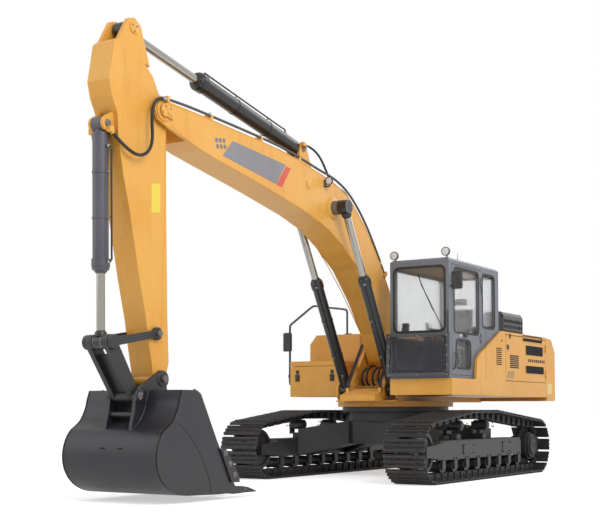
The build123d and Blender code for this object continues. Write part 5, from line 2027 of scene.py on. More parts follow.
# ------------------------------------------------------------------ cab
@dataclass
class CabTrim:
    """Seals, lining, levers, rails, antenna, guard bolts, wiper, console and seat of the cab.

    Attributes:
        left: Middle of the machine to the cab's outer side.
        right: Middle of the machine to its inner side.
        front: Front of the cab, forward of the slew axis.
        rear: Rear of the cab.
        top: Top of the roof.
        wall: Thickness of the walls.
        seal: Width of a pane's seal.
        bead: Thickness of a seal.
        rounding: Radius of a pane's corners.
    """

    left: float = 1.4
    right: float = 0.49
    front: float = 1.1
    rear: float = -0.69
    top: float = 3.1
    wall: float = 0.045
    seal: float = 0.03
    bead: float = 0.007
    rounding: float = 0.06

    def build(self) -> None:
        """Makes everything in and on the cab."""
        self.seals()
        self.lining()
        self.door()
        self.roof()
        self.clamps()
        self.guard()
        self.wiper()
        self.dashboard()
        Seat().build()

    def seals(self) -> None:
        """Black rubber seals round every pane."""
        seals = Form()
        wide = self.left - self.right - 0.15
        for floor, top in ((2.09, 2.97), (1.54, 2.01)):
            self.pane(seals, at(self.right + 0.075, self.front - 0.003, floor), LEFT * wide, top - floor)
        self.pane(seals, at(self.left - 0.09, self.rear + 0.003, 2.25), LEFT * (0.03 - wide), 0.71)
        self.pane(seals, at(self.left - 0.003, -0.09, 2.2), AHEAD * -0.43, 0.76)
        self.pane(seals, at(self.right + 0.003, -0.56, 2.0), AHEAD * 1.52, 0.96)
        seals.piece("cab_seals", RUBBER, "upper", "frame_black", 0.0008)
        door = Form()
        for rear, front, floor, top in ((0.08, 0.91, 2.08, 2.96), (0.38, 0.85, 1.58, 1.95)):
            self.pane(door, at(self.left - 0.003, front, floor), AHEAD * (rear - front), top - floor)
        door.piece("door_seals", RUBBER, "cab_door", "frame_black", 0.0008)

    def pane(self, form: Form, corner: Vector, wide: Vector, tall: float) -> None:
        """Adds the seal round one pane to a form."""
        form.frame(corner, wide, UP * tall, self.seal, self.bead, self.rounding)

    def lining(self) -> None:
        """A tan headliner and a rubber floor mat."""
        inner = (self.right + self.wall + 0.002, self.left - self.wall - 0.002)
        lining = Form().block(inner, (self.rear + self.wall + 0.002, self.front - self.wall - 0.002),
                              (self.top - 0.11, self.top - 0.082))
        lining.block((inner[0] + 0.1, inner[1] - 0.1), (0.55, 0.85), (self.top - 0.13, self.top - 0.108))
        lining.piece("headliner", TAN_TRIM, "upper", "frame_black", 0.01)
        mat = Form().block(inner, (self.rear + self.wall + 0.002, self.front - self.wall - 0.002),
                           (1.4655, 1.475))
        mat.piece("floor_mat", RUBBER, "upper", "frame_black", 0.003)

    def door(self) -> None:
        """The door's levers and bare plate, the grab strip behind it and the rail before it."""
        face = self.left
        lever = Form().bent([at(face + 0.001, 1.0 - 0.03, 1.545), at(face + 0.024, 0.955, 1.575),
                             at(face + 0.028, 0.935, 1.66), at(face + 0.026, 0.915, 1.75),
                             at(face + 0.001, 0.9, 1.79)], 0.011, 10, 6)
        lever.block((face, face + 0.01), (0.5, 0.62), (2.004, 2.064))
        lever.bent([at(face + 0.008, 0.515, 2.034), at(face + 0.026, 0.53, 2.036),
                    at(face + 0.028, 0.58, 2.036), at(face + 0.024, 0.61, 2.03)], 0.009, 10, 6)
        lever.piece("door_levers", PLASTIC, "cab_door", "frame_black", 0.001)
        plate = Form().block((face, face + 0.0015), (0.66, 0.74), (2.01, 2.058))
        plate.piece("door_bare_plate", LABEL_SILVER, "cab_door", "cab_grey", 0.0)
        strip = Form().bent([at(face + 0.001, -0.04, 2.69), at(face + 0.007, -0.04, 2.705),
                             at(face + 0.007, -0.04, 2.81), at(face + 0.001, -0.04, 2.825)], 0.006, 8, 5)
        strip.piece("door_grab_strip", PLASTIC, "upper", "frame_black", 0.0)
        rail = Form().bent([at(face - 0.02, 1.088, 1.62), at(face - 0.004, 1.13, 1.65),
                            at(face - 0.004, 1.13, 2.3), at(face - 0.02, 1.088, 2.33)], 0.01, 10, 8)
        rail.piece("cab_grab_rail", PLASTIC, "upper", "frame_black", 0.0)

    def roof(self) -> None:
        """The antenna and the rear hook."""
        mast = Form().turned(at(1.3, 0.58, self.top - 0.003), UP,
                             [(0.0, 0.024), (0.012, 0.022), (0.024, 0.012), (0.03, 0.004), (0.128, 0.0025),
                              (0.128, TIP)], 20)
        mast.bent([at(1.05, -0.56, self.top - 0.004), at(1.05, -0.56, self.top + 0.034),
                   at(1.05, -0.5, self.top + 0.034), at(1.05, -0.5, self.top - 0.004)], 0.008, 10, 6)
        mast.piece("antenna_and_hook", PLASTIC, "upper", "frame_black", 0.0)

    def clamps(self) -> None:
        """Clamps round the handrail."""
        clamp = Form()
        for height in (1.5, 2.02):
            clamp.turned(at(-1.5, 0.62, height - 0.02), UP, [(0.0, 0.018), (0.0, 0.026), (0.04, 0.026),
                                                             (0.04, 0.018)], 20)
        clamp.piece("rail_clamps", PLASTIC, "upper", "frame_black", 0.001)

    def guard(self) -> None:
        """Bolts round the front guard."""
        bolts = Bolts()
        face = SLEW_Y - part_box("front_guard")[0][1]
        for across in (0.507, 0.953, 1.4):
            for height in (1.465, 2.005):
                bolts.add(at(across, face, height), AHEAD)
        for height in (1.6, 1.735, 1.87):
            for across in (0.507, 1.4):
                bolts.add(at(across, face, height), AHEAD)
        bolts.piece("guard_bolts", PIN_STEEL, "upper", "pin_steel", 0.01, 0.007)

    def wiper(self) -> None:
        """The windscreen wiper, its blade and its boss."""
        face = self.front
        arm = Form().bent([at(1.3, face - 0.012, 2.1), at(1.26, face + 0.012, 2.2),
                           at(1.1, face + 0.016, 2.52), at(0.98, face + 0.012, 2.74)], 0.006, 8, 6)
        arm.bent([at(1.16, face - 0.014, 2.36), at(0.98, face - 0.008, 2.74), at(0.93, face - 0.014, 2.88)],
                 0.008, 8, 6)
        arm.disc(at(1.3, face - 0.024, 2.1), AHEAD, 0.02, 0.02, (0.008, 0.008), 20)
        arm.piece("wiper", PLASTIC, "upper", "frame_black", 0.0)

    def dashboard(self) -> None:
        """A side console with a monitor."""
        desk = Form().block((0.545, 0.62), (0.42, 0.96), (1.72, 2.0))
        desk.block((0.56, 0.66), (0.84, 0.9), (2.02, 2.22), 12.0)
        desk.piece("right_console", PLASTIC, "upper", "frame_black", 0.012)
        screen = Form().block((0.57, 0.65), (0.832, 0.838), (2.04, 2.2), 12.0)
        screen.piece("monitor_face", SCREEN, "upper", "clear_glass", 0.002)


@dataclass
class Seat:
    """The operator's seat: a sprung base under two padded cushions and a headrest.

    Attributes:
        across: Right and left edge of the cushion.
        swell: Furthest that a cushion's face moves under pressure.
        seams: Places of the sewn lines as shares of a cushion's length.
    """

    across: Pair = (0.72, 1.22)
    swell: float = 0.012
    seams: Pair = (0.34, 0.67)

    def build(self) -> None:
        """Makes the base and the cushions, of which the lower one replaces the plain seat."""
        middle = (self.across[0] + self.across[1]) / 2
        base = Form().block((middle - 0.13, middle + 0.13), (-0.12, 0.22), (1.467, 1.52))
        for level in range(7):
            height = 1.53 + 0.045 * level
            reach = 0.115 if level % 2 else 0.098
            base.turned(at(middle, 0.05, height), UP, [(0.0, reach), (0.02, reach + 0.012),
                                                                      (0.04, reach)], 28)
        base.block((middle - 0.21, middle + 0.21), (-0.15, 0.3), (1.86, 1.905))
        for side in (1, -1):
            base.block((middle + side * 0.262, middle + side * 0.3), (-0.1, 0.24), (2.155, 2.185))
            base.block((middle + side * 0.268, middle + side * 0.292), (-0.14, -0.09), (1.9, 2.17))
        base.piece("seat_base", PLASTIC, "upper", "frame_black", 0.006)
        cushion = self.pad("seat_cushion", (self.across[0], self.across[1]), (-0.135, 0.35), (1.905, 2.028),
                           0.0)
        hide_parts("operator_seat")
        self.pad("seat_back", (self.across[0] + 0.015, self.across[1] - 0.015), (-0.255, -0.13),
                 (2.045, 2.5), 4.0)
        self.pad("headrest", (middle - 0.14, middle + 0.14), (-0.25, -0.16), (2.525, 2.648), 4.0)

    def pad(self, name: str, across: Pair, forward: Pair, height: Pair, lean: float) -> bpy.types.Object:
        """A crowned cushion, inflated by a short cloth simulation and creased by sewn lines.

        Args:
            name: The piece's name.
            across: Its edges across the machine.
            forward: Its edges forward of the slew axis.
            height: Its floor and top.
            lean: Its lean in degrees.

        Returns:
            The cushion.
        """
        shrink = self.swell
        form = Form().block((across[0] + shrink, across[1] - shrink),
                            (forward[0] + shrink, forward[1] - shrink),
                            (height[0] + shrink, height[1] - shrink), lean)
        piece = form.piece(name, SEAT_CLOTH, "upper", "seat_cloth", 0.0)
        for kind, settings in (("BEVEL", {"width": 0.028, "segments": 4}),
                               ("REMESH", {"mode": "VOXEL", "voxel_size": 0.011, "use_smooth_shade": True})):
            modifier = piece.modifiers.new(kind.lower(), kind)
            for label, value in settings.items():
                setattr(modifier, label, value)
        self.apply(piece)
        self.inflate(piece)
        low = Vector((across[0], SLEW_Y - forward[1], height[0]))
        high = Vector((across[1], SLEW_Y - forward[0], height[1]))
        along = 2 if high.z - low.z > high.y - low.y else 1
        run = high[along] - low[along]
        for vertex in piece.data.vertices:
            place = (vertex.co[along] - low[along]) / run
            near = min(abs(place - row) for row in self.seams) * run
            sink = 0.008 * math.exp(-(near / 0.01) ** 2)
            vertex.co -= vertex.normal * sink
            for axis in range(3):
                vertex.co[axis] = min(max(vertex.co[axis], low[axis]), high[axis])
        piece.modifiers.new("fine", "SUBSURF").render_levels = 1
        piece.modifiers["fine"].levels = 1
        return piece

    def apply(self, piece: bpy.types.Object) -> None:
        """Replaces the piece's mesh by its modifiers' result.

        Args:
            piece: The piece.
        """
        mesh = smoothed(settled(piece))
        piece.modifiers.clear()
        piece.data = mesh

    def inflate(self, piece: bpy.types.Object) -> None:
        """Swells the cushion under pressure, no further than its cap.

        Args:
            piece: The cushion.
        """
        start = [vertex.co.copy() for vertex in piece.data.vertices]
        cloth = piece.modifiers.new("cloth", "CLOTH")
        cloth.settings.use_pressure = True
        cloth.settings.uniform_pressure_force = 4.0
        cloth.settings.effector_weights.gravity = 0.0
        cloth.settings.quality = 4
        for step in range(1, 16):
            bpy.context.scene.frame_set(step)
        self.apply(piece)
        bpy.context.scene.frame_set(1)
        for vertex, old in zip(piece.data.vertices, start):
            move = vertex.co - old
            if move.length > self.swell:
                vertex.co = old + move.normalized() * self.swell


# ------------------------------------------------------------------ forms that only the looks have
@dataclass
class BoomLines:
    """The four steel pipes on the boom's crest with their clamps, and the bosses and port blocks.

    Attributes:
        rise: Side-view route that both pairs share.
        outer: The rest of an outer pipe's route.
        inner: The rest of an inner pipe's route.
        radius: Radius of a pipe.
        rows: Middle of the boom to an outer and to an inner pipe.
    """

    rise: list[Pair] = field(default_factory=lambda: [(0.715, 2.98), (0.912, 3.232), (1.295, 3.65),
                                                      (1.725, 3.97)])
    outer: list[Pair] = field(default_factory=lambda: [(2.13, 4.122), (2.56, 4.186), (3.555, 4.316),
                                                       (5.139, 4.391), (5.7, 4.4), (5.878, 4.392)])
    inner: list[Pair] = field(default_factory=lambda: [(1.92, 4.034), (2.108, 4.07)])
    radius: float = 0.016
    rows: Pair = (0.192, 0.14)

    def build(self) -> None:
        """Makes the pipes, clamps, bosses and ports."""
        pipes, clamps, bosses = Form(), Form(), Form()
        for side in (1, -1):
            for across, route in zip(self.rows, (self.outer, self.inner)):
                pipes.bent([at(side * across, *place) for place in self.rise + route], self.radius, 12, 6)
            for forward, height, lean in ((0.855, 3.105, 52.0), (3.07, 4.228, 8.0), (3.965, 4.312, 3.0),
                                          (5.01, 4.366, 3.0)):
                clamps.block((side * 0.11, side * 0.208), (forward - 0.023, forward + 0.023),
                             (height - 0.036, height + 0.036), lean)
            clamps.block((side * 0.168, side * 0.258), (5.862, 5.9), (4.345, 4.412))
            clamps.block((side * 0.105, side * 0.227), (0.69, 0.745), (2.905, 3.01), 52.0)
            clamps.block((side * 0.1, side * 0.147), (2.83, 2.892), (4.46, 4.51))
            for place, radius, thick in (((2.22, 3.72), 0.15, 0.014), ((2.858, 3.94), 0.062, 0.01),
                                         ((5.912, 4.249), 0.118, 0.012)):
                bosses.disc(at(side * 0.2095, *place), outward(side), radius, thick - 0.002, sides=56)
        pipes.piece("boom_pipes", CAST_GREY, "boom", "yellow_paint", 0.0)
        clamps.piece("pipe_clamps", AMBER, "boom", "yellow_paint", 0.002)
        bosses.piece("boom_bosses", AMBER, "boom", "yellow_paint", 0.0)
        ports = Form()
        for side in (1, -1):
            ports.block((side * 0.099, side * 0.152), (6.65, 6.715), (3.862, 3.925))
            ports.rod(at(side * 0.138, 6.653, 3.852), at(side * 0.128, 6.668, 3.874), 0.025, 6)
        ports.piece("arm_port_blocks", AMBER, "arm", "yellow_paint", 0.002)


@dataclass
class FootLines:
    """Short steel lines from the towers to the deck, their clips, the valve block and its feed pipes.

    Attributes:
        route: Side-view route of a line.
        feeds: Distance of each feed pipe from the machine's middle.
    """

    route: list[Pair] = field(default_factory=lambda: [
        (0.42, 1.955), (0.5, 1.955), (0.56, 1.938), (0.66, 1.815), (0.78, 1.655), (0.905, 1.49),
        (0.965, 1.405), (0.985, 1.35), (0.985, 1.25)])
    feeds: tuple[float, ...] = (-0.165, -0.085, 0.01, 0.105)

    def build(self) -> None:
        """Makes the lines and clips on both towers, and what stands between the towers."""
        lines, clips = Form(), Form()
        for side in (1, -1):
            for across in (0.248, 0.275):
                lines.bent([at(side * across, *place) for place in self.route], 0.012, 12, 5)
            edges = (side * 0.24, side * 0.286)
            clips.block(edges, (0.365, 0.425), (1.896, 1.985))
            clips.plate([(0.955, 1.258), (0.955, 1.3), (1.015, 1.3), (1.015, 1.24)], edges)
            clips.plate([(0.7, 1.6), (0.745, 1.664), (0.793, 1.632), (0.77, 1.512)], edges)
        lines.piece("foot_lines", BLACK_PAINT, "upper", "frame_black", 0.0)
        clips.piece("foot_line_clips", AMBER, "upper", "yellow_paint", 0.002)
        bundle, ends = Form(), Form()
        for index, across in enumerate(self.feeds):
            rise = 0.03 * (index % 2)
            bundle.bent([at(across, 0.64, 1.33), at(across, 0.715, 1.365), at(across + 0.01, 0.77, 1.44),
                         at(across + 0.02, 0.755, 1.53 + rise), at(across + 0.03, 0.67, 1.59 + rise),
                         at(across + 0.03, 0.56, 1.6 + rise)], 0.018, 12, 8)
            ends.rod(at(across, 0.63, 1.318), at(across, 0.662, 1.346), 0.029, 6)
        valve = Form().block((-0.215, 0.165), (0.56, 0.655), (1.3, 1.395))
        valve.block((0.19, 0.28), (0.7, 0.79), (1.3, 1.475))
        valve.piece("valve_block", AMBER, "upper", "yellow_paint", 0.004)
        bundle.piece("feed_pipes", BLACK_PAINT, "upper", "frame_black", 0.0)
        ends.piece("feed_pipe_nuts", FITTING, "upper", "pin_steel", 0.001)


@dataclass
class Grilles:
    """Grilles, slots and louvres on the side doors, the hood's edge and the left box, with dark sheets that
    paint the shade in their openings.

    Attributes:
        side: Middle to the outer face of a door.
        windows: Rear, front, floor and top of each netted opening.
        back: Thickness of the dark sheets of painted shade.
        mesh: Distance between a net's wires.
    """

    side: float = 1.445
    windows: list[tuple[float, float, float, float]] = field(default_factory=lambda: [
        (-2.44, -1.68, 1.85, 2.0), (-2.48, -1.68, 1.56, 1.68), (-2.4, -1.56, 2.062, 2.112)])
    back: float = 0.0014
    mesh: float = 0.02

    def build(self) -> None:
        """Makes the grilles of both sides."""
        tree = self.net()
        for side, word in SIDES:
            out = outward(side)
            face = side * self.side
            door = f"{word}_side_door"
            dark, rims, slats = Form(), Form(), Form()
            for rear, front, floor, top in self.windows:
                # Painted shade: a dark sheet behind each net.
                dark.block((face, face + side * self.back), (rear, front), (floor, top))
                start, run = (front, rear) if side > 0 else (rear, front)
                rims.frame(at(face, start, floor), Vector((0.0, start - run, 0.0)),
                           Vector((0.0, 0.0, top - floor)), 0.012, 0.006, 0.018)
            # Painted shade: a row of dark slots, and dark gaps between the louvre slats.
            for column in range(9):
                forward = -2.53 + 0.0855 * column
                dark.block((face, face + side * self.back), (forward, forward + 0.055), (1.742, 1.788))
            for row in range(7):
                height = 1.625 + 0.03 * row
                dark.block((face, face + side * self.back), (-1.385, -1.025), (height, height + 0.017))
                slats.plate([(-1.385, height + 0.017), (-1.385, height + 0.021), (-1.025, height + 0.021),
                             (-1.025, height + 0.017)], (face, face + side * 0.01))
            dark.piece(f"grille_shade_backs_{word}", SHADE_FILL, door, "frame_black", 0.0)
            rims.piece(f"grille_rims_{word}", AMBER, door, "yellow_paint", 0.0)
            slats.piece(f"louvres_{word}", AMBER, door, "yellow_paint", 0.001)
            for index, (rear, front, floor, top) in enumerate(self.windows):
                wide, tall = front - rear, top - floor
                net = tree.grow(f"grille_net_{word}_{index + 1}",
                                [(at(face + side * 0.0035, (rear + front) / 2, (floor + top) / 2), out,
                                  Vector((0.0, 1.0, 0.0)))], DARK_PAINT,
                                {"Width": wide, "Height": tall, "Columns": int(wide / self.mesh),
                                 "Rows": max(int(tall / self.mesh), 3)})
                publish(net, DARK_PAINT, door)
            # Painted shade: dark slots along the hood's edge.
            edge = Form()
            for column in range(10):
                forward = -2.395 + 0.0835 * column
                edge.block((face - side * 0.001, face + side * self.back), (forward, forward + 0.066),
                           (2.137, 2.162))
            edge.piece(f"hood_slots_{word}", SHADE_FILL, "engine_hood", "frame_black", 0.0)
        # Painted shade: dark slots in the side box.
        vents = Form()
        for row in range(9):
            height = 1.655 + 0.03 * row
            vents.block((self.side, self.side + self.back), (-0.69, -0.48), (height, height + 0.016))
        vents.piece("side_box_slots", SHADE_FILL, "upper", "frame_black", 0.0)

    def net(self) -> NodeTree:
        """The tree that makes a wire net."""
        tree = NodeTree("wire_net", {"Width": ("Float", 0.8), "Height": ("Float", 0.15),
                                     "Wire": ("Float", 0.0016), "Columns": ("Int", 60), "Rows": ("Int", 12),
                                     "Material": ("Material", None)})
        sheet = tree.node("GeometryNodeMeshGrid", None,
                          {"Size X": tree.inputs["Width"], "Size Y": tree.inputs["Height"],
                           "Vertices X": tree.inputs["Columns"], "Vertices Y": tree.inputs["Rows"]})
        wires = tree.node("GeometryNodeMeshToCurve", None, {"Mesh": sheet.outputs["Mesh"]}).outputs[0]
        ring = tree.node("GeometryNodeCurvePrimitiveCircle", {"mode": "RADIUS"},
                         {"Resolution": 3, "Radius": tree.inputs["Wire"]}).outputs[0]
        net = tree.node("GeometryNodeCurveToMesh", None, {"Curve": wires, "Profile Curve": ring}).outputs[0]
        tree.end(tree.scattered(net))
        return tree


@dataclass
class Fixtures:
    """The handrail, mirrors, roof lamps, guard, exhaust cover and operator's controls.

    Attributes:
        rail: Route of the handrail.
        tube: Radius of the handrail.
        holes: Holes of the guard across and up.
        wire: Width of the sheet between them.
        sheet: Thickness of the exhaust's cover.
    """

    rail: tuple[Point, ...] = (
        (-1.428, 0.62, 1.37), (-1.47, 0.62, 1.372), (-1.5, 0.62, 1.41), (-1.5, 0.62, 1.7),
        (-1.5, 0.62, 2.0), (-1.5, 0.62, 2.23), (-1.497, 0.603, 2.292), (-1.47, 0.5, 2.368),
        (-1.43, 0.33, 2.482), (-1.388, 0.155, 2.597), (-1.366, 0.06, 2.622), (-1.32, -0.33, 2.622),
        (-1.272, -0.68, 2.622), (-1.261, -0.742, 2.596), (-1.26, -0.75, 2.52), (-1.26, -0.75, 2.33),
        (-1.26, -0.75, 2.148))
    tube: float = 0.017
    holes: tuple[int, int] = (24, 15)
    wire: float = 0.007
    sheet: float = 0.006

    def build(self) -> None:
        """Makes all of them."""
        self.handrail()
        self.mirrors()
        self.roof_lamps()
        self.guard()
        self.cover()
        self.controls()

    def handrail(self) -> None:
        """The bent rail from the tool box past the tank's corner to the tank's top."""
        rail = Form().bent([at(*place) for place in self.rail], self.tube, 14, 5)
        rail.turned(at(-1.26, -0.75, 2.149), UP, [(0.0, 0.04), (0.008, 0.04), (0.008, self.tube)])
        rail.turned(at(-1.429, 0.62, 1.37), Vector((-1, 0, 0)),
                    [(0.0, 0.038), (0.008, 0.038), (0.008, self.tube)])
        rail.piece("right_handrail", DARK_PAINT, "upper", "dark_grey", 0.0)

    def mirrors(self) -> None:
        """The mirrors beside the cab and on the handrail."""
        self.mirror("left", (1.432, 1.586), (1.036, 1.084), (2.65, 2.9),
                    ((1.399, 1.025, 2.7), (1.44, 1.03, 2.7), (1.47, 1.046, 2.712), (1.5, 1.062, 2.745)))
        self.mirror("right", (-1.589, -1.443), (0.642, 0.69), (1.88, 2.17),
                    ((-1.5, 0.628, 1.99), (-1.502, 0.64, 2.0), (-1.508, 0.652, 2.012),
                     (-1.515, 0.664, 2.025)))

    def mirror(self, name: str, across: Pair, forward: Pair, height: Pair, arm: Sequence[Point]) -> None:
        """A rounded head with its rim and glass on a bent arm.

        Args:
            name: The mirror's side.
            across: Edges of the head across the machine.
            forward: Its rear and front.
            height: Its floor and top.
            arm: Route of its arm.
        """
        head = Form().block(across, forward, height)
        shell = head.piece(f"{name}_mirror_head", PLASTIC, "upper", "frame_black", 0.0)
        edge = shell.modifiers.new("round", "BEVEL")
        edge.width = 0.02
        edge.segments = 4
        wide, tall = across[1] - across[0] - 0.024, height[1] - height[0] - 0.024
        rim = Form().frame(at(across[0] + 0.012, forward[0] + 0.001, height[0] + 0.012)
                           + Vector((wide, 0, 0)), Vector((-wide, 0, 0)), Vector((0, 0, tall)), 0.005,
                           0.004, 0.02)
        rim.piece(f"{name}_mirror_rim", PLASTIC, "upper", "frame_black", 0.0)
        glass = Form().block((across[0] + 0.013, across[1] - 0.013),
                             (forward[0] - 0.0025, forward[0] + 0.002),
                             (height[0] + 0.013, height[1] - 0.013))
        glass.piece(f"{name}_mirror_glass", MIRROR, "upper", "clear_glass", 0.0015)
        bar = Form().bent([at(*place) for place in arm], 0.011, 12, 6)
        bar.piece(f"{name}_mirror_arm", PLASTIC, "upper", "frame_black", 0.0)

    def roof_lamps(self) -> None:
        """Two round lamps on posts over the windscreen."""
        shell, glass = Form(), Form()
        for across, height in ((0.545, 3.172), (1.345, 3.182)):
            shell.rod(at(across, 1.03, 3.085), at(across, 1.03, height - 0.04), 0.009)
            shell.block((across - 0.024, across + 0.024), (1.01, 1.05), (3.098, 3.106))
            shell.turned(at(across, 1.005, height), AHEAD, [(0.0, 0.03), (0.012, 0.042), (0.04, 0.056),
                                                            (0.048, 0.062), (0.085, 0.062), (0.085, 0.055),
                                                            (0.076, 0.053), (0.076, TIP)])
            glass.turned(at(across, 1.08, height), AHEAD, [(0.0, 0.0535), (0.006, 0.053), (0.011, 0.03),
                                                            (0.012, TIP)])
        shell.piece("roof_lamps", PLASTIC, "upper", "dark_grey", 0.001)
        glass.piece("roof_lamp_glass", LAMP_GLASS, "upper", "clear_glass", 0.0)

    def guard(self) -> None:
        """The perforated guard before the lower windscreen, in its frame, on four brackets."""
        low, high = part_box("front_guard")
        back, front = SLEW_Y - (high[1] - 0.06), SLEW_Y - low[1]
        left, right = high[0], low[0]
        floor, top = low[2], high[2]
        frame_bars = Form()
        for span, level in (((right, left), (floor, floor + 0.045)), ((right, left), (top - 0.045, top))):
            frame_bars.block(span, (back, front), level)
        for span in ((right, right + 0.045), (left - 0.045, left)):
            frame_bars.block(span, (back, front), (floor + 0.04, top - 0.04))
        for across in (0.52, 1.37):
            for start, end in ((1.5, 1.55), (2.0, 2.04)):
                frame_bars.block((across - 0.02, across + 0.02), (1.099, back + 0.01), (start, end))
        wide, tall = left - right - 0.08, top - floor - 0.08
        columns, rows = self.holes
        frame_bars.sheet(at(right + 0.04, front - 0.012, floor + 0.04), LEFT * wide, UP * tall, self.holes,
                         (wide / columns - self.wire, tall / rows - self.wire), 0.004)
        piece = frame_bars.piece("guard_mesh", DARK_PAINT, "upper", "dark_grey", 0.0)
        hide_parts("front_guard")

    def cover(self) -> None:
        """The exhaust's perforated cover on the hood, with a rounded top."""
        rear, front, floor, top, near, far = -2.44, -1.6, 2.169, 2.555, 0.74, 1.11
        cover, sheet = Form(), self.sheet
        radius = 0.09
        arch = []
        for side, start in ((far, 0), (near, 90)):
            middle = side - radius if side == far else side + radius
            arch += arc((middle, top - radius), radius, range(start, start + 91, 15))
        inner = [(x + (sheet if x < (near + far) / 2 else -sheet), z - sheet) for x, z in arch]
        ring = arch + list(reversed(inner))
        cover.prism(*([cover.mesh.verts.new(at(x, forward, z)) for x, z in ring]
                      for forward in (rear, front)))
        tall = Vector((0, 0, top - radius - floor))
        for across in (far, near + sheet):
            cover.sheet(at(across, front, floor) - Vector((sheet, 0, 0)), Vector((0, front - rear, 0)), tall,
                         (9, 3), (0.062, 0.052), sheet)
        for forward in (rear, front - sheet):
            cover.plate([(forward, floor), (forward + sheet, floor), (forward + sheet, top - radius),
                         (forward, top - radius)], (near + 0.001, far - 0.001))
            cover.plate([(forward, top - radius - 0.001), (forward + sheet, top - radius - 0.001),
                         (forward + sheet, top - 0.004), (forward, top - 0.004)],
                        (near + radius * 0.4, far - radius * 0.4))
        cover.piece("exhaust_cover", DARK_PAINT, "engine_hood", "dark_grey", 0.0)

    def controls(self) -> None:
        """Travel pedals with their levers, and the two joysticks on their consoles."""
        pedals = Form()
        for across in (0.91, 1.03):
            pedals.block((across - 0.045, across + 0.045), (0.64, 0.85), (1.5, 1.512), 14.0)
            pedals.block((across - 0.02, across + 0.02), (0.78, 0.84), (1.464, 1.515))
            pedals.bent([at(across, 0.815, 1.505), at(across, 0.822, 1.7), at(across, 0.8, 1.9),
                         at(across, 0.77, 2.01)], 0.009, 10, 6)
            pedals.turned(at(across, 0.773, 1.995), Vector((0, 0.25, 1)), [(0.0, 0.013), (0.02, 0.019),
                                                                             (0.07, 0.02), (0.09, 0.01)], 20)
        for across in (0.66, 1.28):
            pedals.block((across - 0.045, across + 0.045), (-0.08, 0.3), (1.88, 2.06))
            pedals.bent([at(across, 0.23, 2.055), at(across, 0.236, 2.12), at(across, 0.24, 2.17)], 0.011,
                        10, 6)
            pedals.turned(at(across, 0.24, 2.15), Vector((0, -0.15, 1)),
                          [(0.0, 0.016), (0.03, 0.023), (0.09, 0.026), (0.12, 0.016)], 20)
        pedals.piece("operator_controls", PLASTIC, "upper", "dark_grey", 0.003)


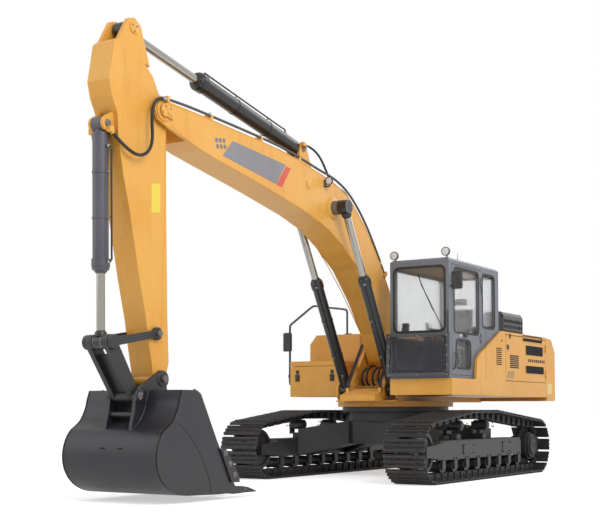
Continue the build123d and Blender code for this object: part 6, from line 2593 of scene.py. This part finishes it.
# ------------------------------------------------------------------ studio
@dataclass
class Studio:
    """Floor, sky, lamps and camera.

    Attributes:
        eye: Camera's place in metres.
        turn: Camera's turn about Z in degrees.
        tilt: Its tilt upwards in degrees.
        lens: Focal length in millimetres on a 36 mm sensor.
        rise: Vertical shift of the frame.
        glow: Light that the floor adds where it is seen.
        daylight: Strength of the sky where it lights the machine.
    """

    eye: Point = (8.135, -13.968, 0.965)
    turn: float = 31.83
    tilt: float = 3.26
    lens: float = 70.1
    rise: float = 0.14
    glow: float = 0.52
    daylight: float = 0.62

    def build(self) -> None:
        """Makes floor, sky, lamps and camera."""
        self.floor()
        self.sky()
        self.lamp("key", (12.0, -7.5, 11.5), 9.0, 1300.0)
        self.lamp("fill", (-10.0, -12.0, 8.0), 10.0, 330.0)
        self.lamp("rear", (3.0, 14.0, 10.0), 9.0, 500.0)
        self.camera()

    def floor(self) -> None:
        """A wide pale floor that shows white to the camera and keeps the shadow."""
        mesh = bpy.data.meshes.new("floor")
        reach = 120.0
        mesh.from_pydata([(-reach, -reach, 0), (reach, -reach, 0), (reach, reach, 0), (-reach, reach, 0)],
                         [], [(0, 1, 2, 3)])
        floor = show(bpy.data.objects.new("floor", mesh))
        shader = Shader("floor")
        shader.dress(Base_Color=(0.8, 0.8, 0.8), Roughness=1.0)
        glow = Value(shader, self.seen(shader)) * self.glow
        emission = shader.node("ShaderNodeEmission", None, {"Strength": glow})
        both = shader.node("ShaderNodeAddShader", None, {0: shader.surface.outputs[0],
                                                         1: emission.outputs[0]})
        shader.feed(shader.output.inputs["Surface"], both.outputs[0])
        mesh.materials.append(shader.material)

    def seen(self, graph: Graph) -> bpy.types.NodeSocket:
        """1 for what the camera sees, straight or in metal and glass, and 0 for what lights the machine.

        Args:
            graph: The graph that gets the nodes.

        Returns:
            The mask.
        """
        path = graph.node("ShaderNodeLightPath")
        seen = path.outputs["Is Camera Ray"]
        for kind in ("Is Glossy Ray", "Is Transmission Ray"):
            seen = graph.node("ShaderNodeMath", {"operation": "MAXIMUM"},
                              {0: seen, 1: path.outputs[kind]}).outputs[0]
        return seen

    def sky(self) -> None:
        """A soft grey sky that the camera sees as white."""
        world = bpy.data.worlds.new("sky")
        world.use_nodes = True
        graph = Graph(world.node_tree)
        graph.tree.nodes.clear()
        strength = graph.node("ShaderNodeMapRange", None,
                              {"Value": self.seen(graph), "To Min": self.daylight, "To Max": 1.0})
        background = graph.node("ShaderNodeBackground", None,
                                {"Color": (1.0, 1.0, 1.0), "Strength": strength.outputs[0]})
        graph.node("ShaderNodeOutputWorld", None, {"Surface": background.outputs[0]})
        bpy.context.scene.world = world

    def lamp(self, name: str, place: Point, size: float, power: float) -> None:
        """Makes a square soft lamp that looks at the machine's middle.

        Args:
            name: The lamp's name.
            place: Its place in metres.
            size: Length of its side.
            power: Its power in watts.
        """
        data = bpy.data.lights.new(name, "AREA")
        data.size = size
        data.energy = power
        lamp = show(bpy.data.objects.new(name, data))
        lamp.location = place
        lamp.rotation_euler = (Vector((0.0, 0.0, 1.8)) - Vector(place)).to_track_quat("-Z", "Y").to_euler()

    def camera(self) -> None:
        """The low camera ahead of the machine's left front corner."""
        data = bpy.data.cameras.new("camera")
        data.lens = self.lens
        data.sensor_width = 36.0
        data.shift_y = self.rise
        data.clip_end = 400.0
        camera = show(bpy.data.objects.new("camera", data))
        camera.location = self.eye
        camera.rotation_euler = (math.radians(90.0 + self.tilt), 0.0, math.radians(self.turn))
        bpy.context.scene.camera = camera
        bpy.context.scene.view_settings.view_transform = "Standard"


def main() -> None:
    """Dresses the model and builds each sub-assembly."""
    logging.basicConfig(level=logging.INFO, format="%(message)s")
    Studio().build()
    dress_nodes()
    for group in (Hoses(), Undercarriage(), BoomTrim(), BoomLines(), ArmTrim(), BucketTrim(), Rams(),
                  UpperTrim(), FootLines(), Grilles(), CabTrim(), Fixtures()):
        group.build()


if __name__ == "__main__":
    main()
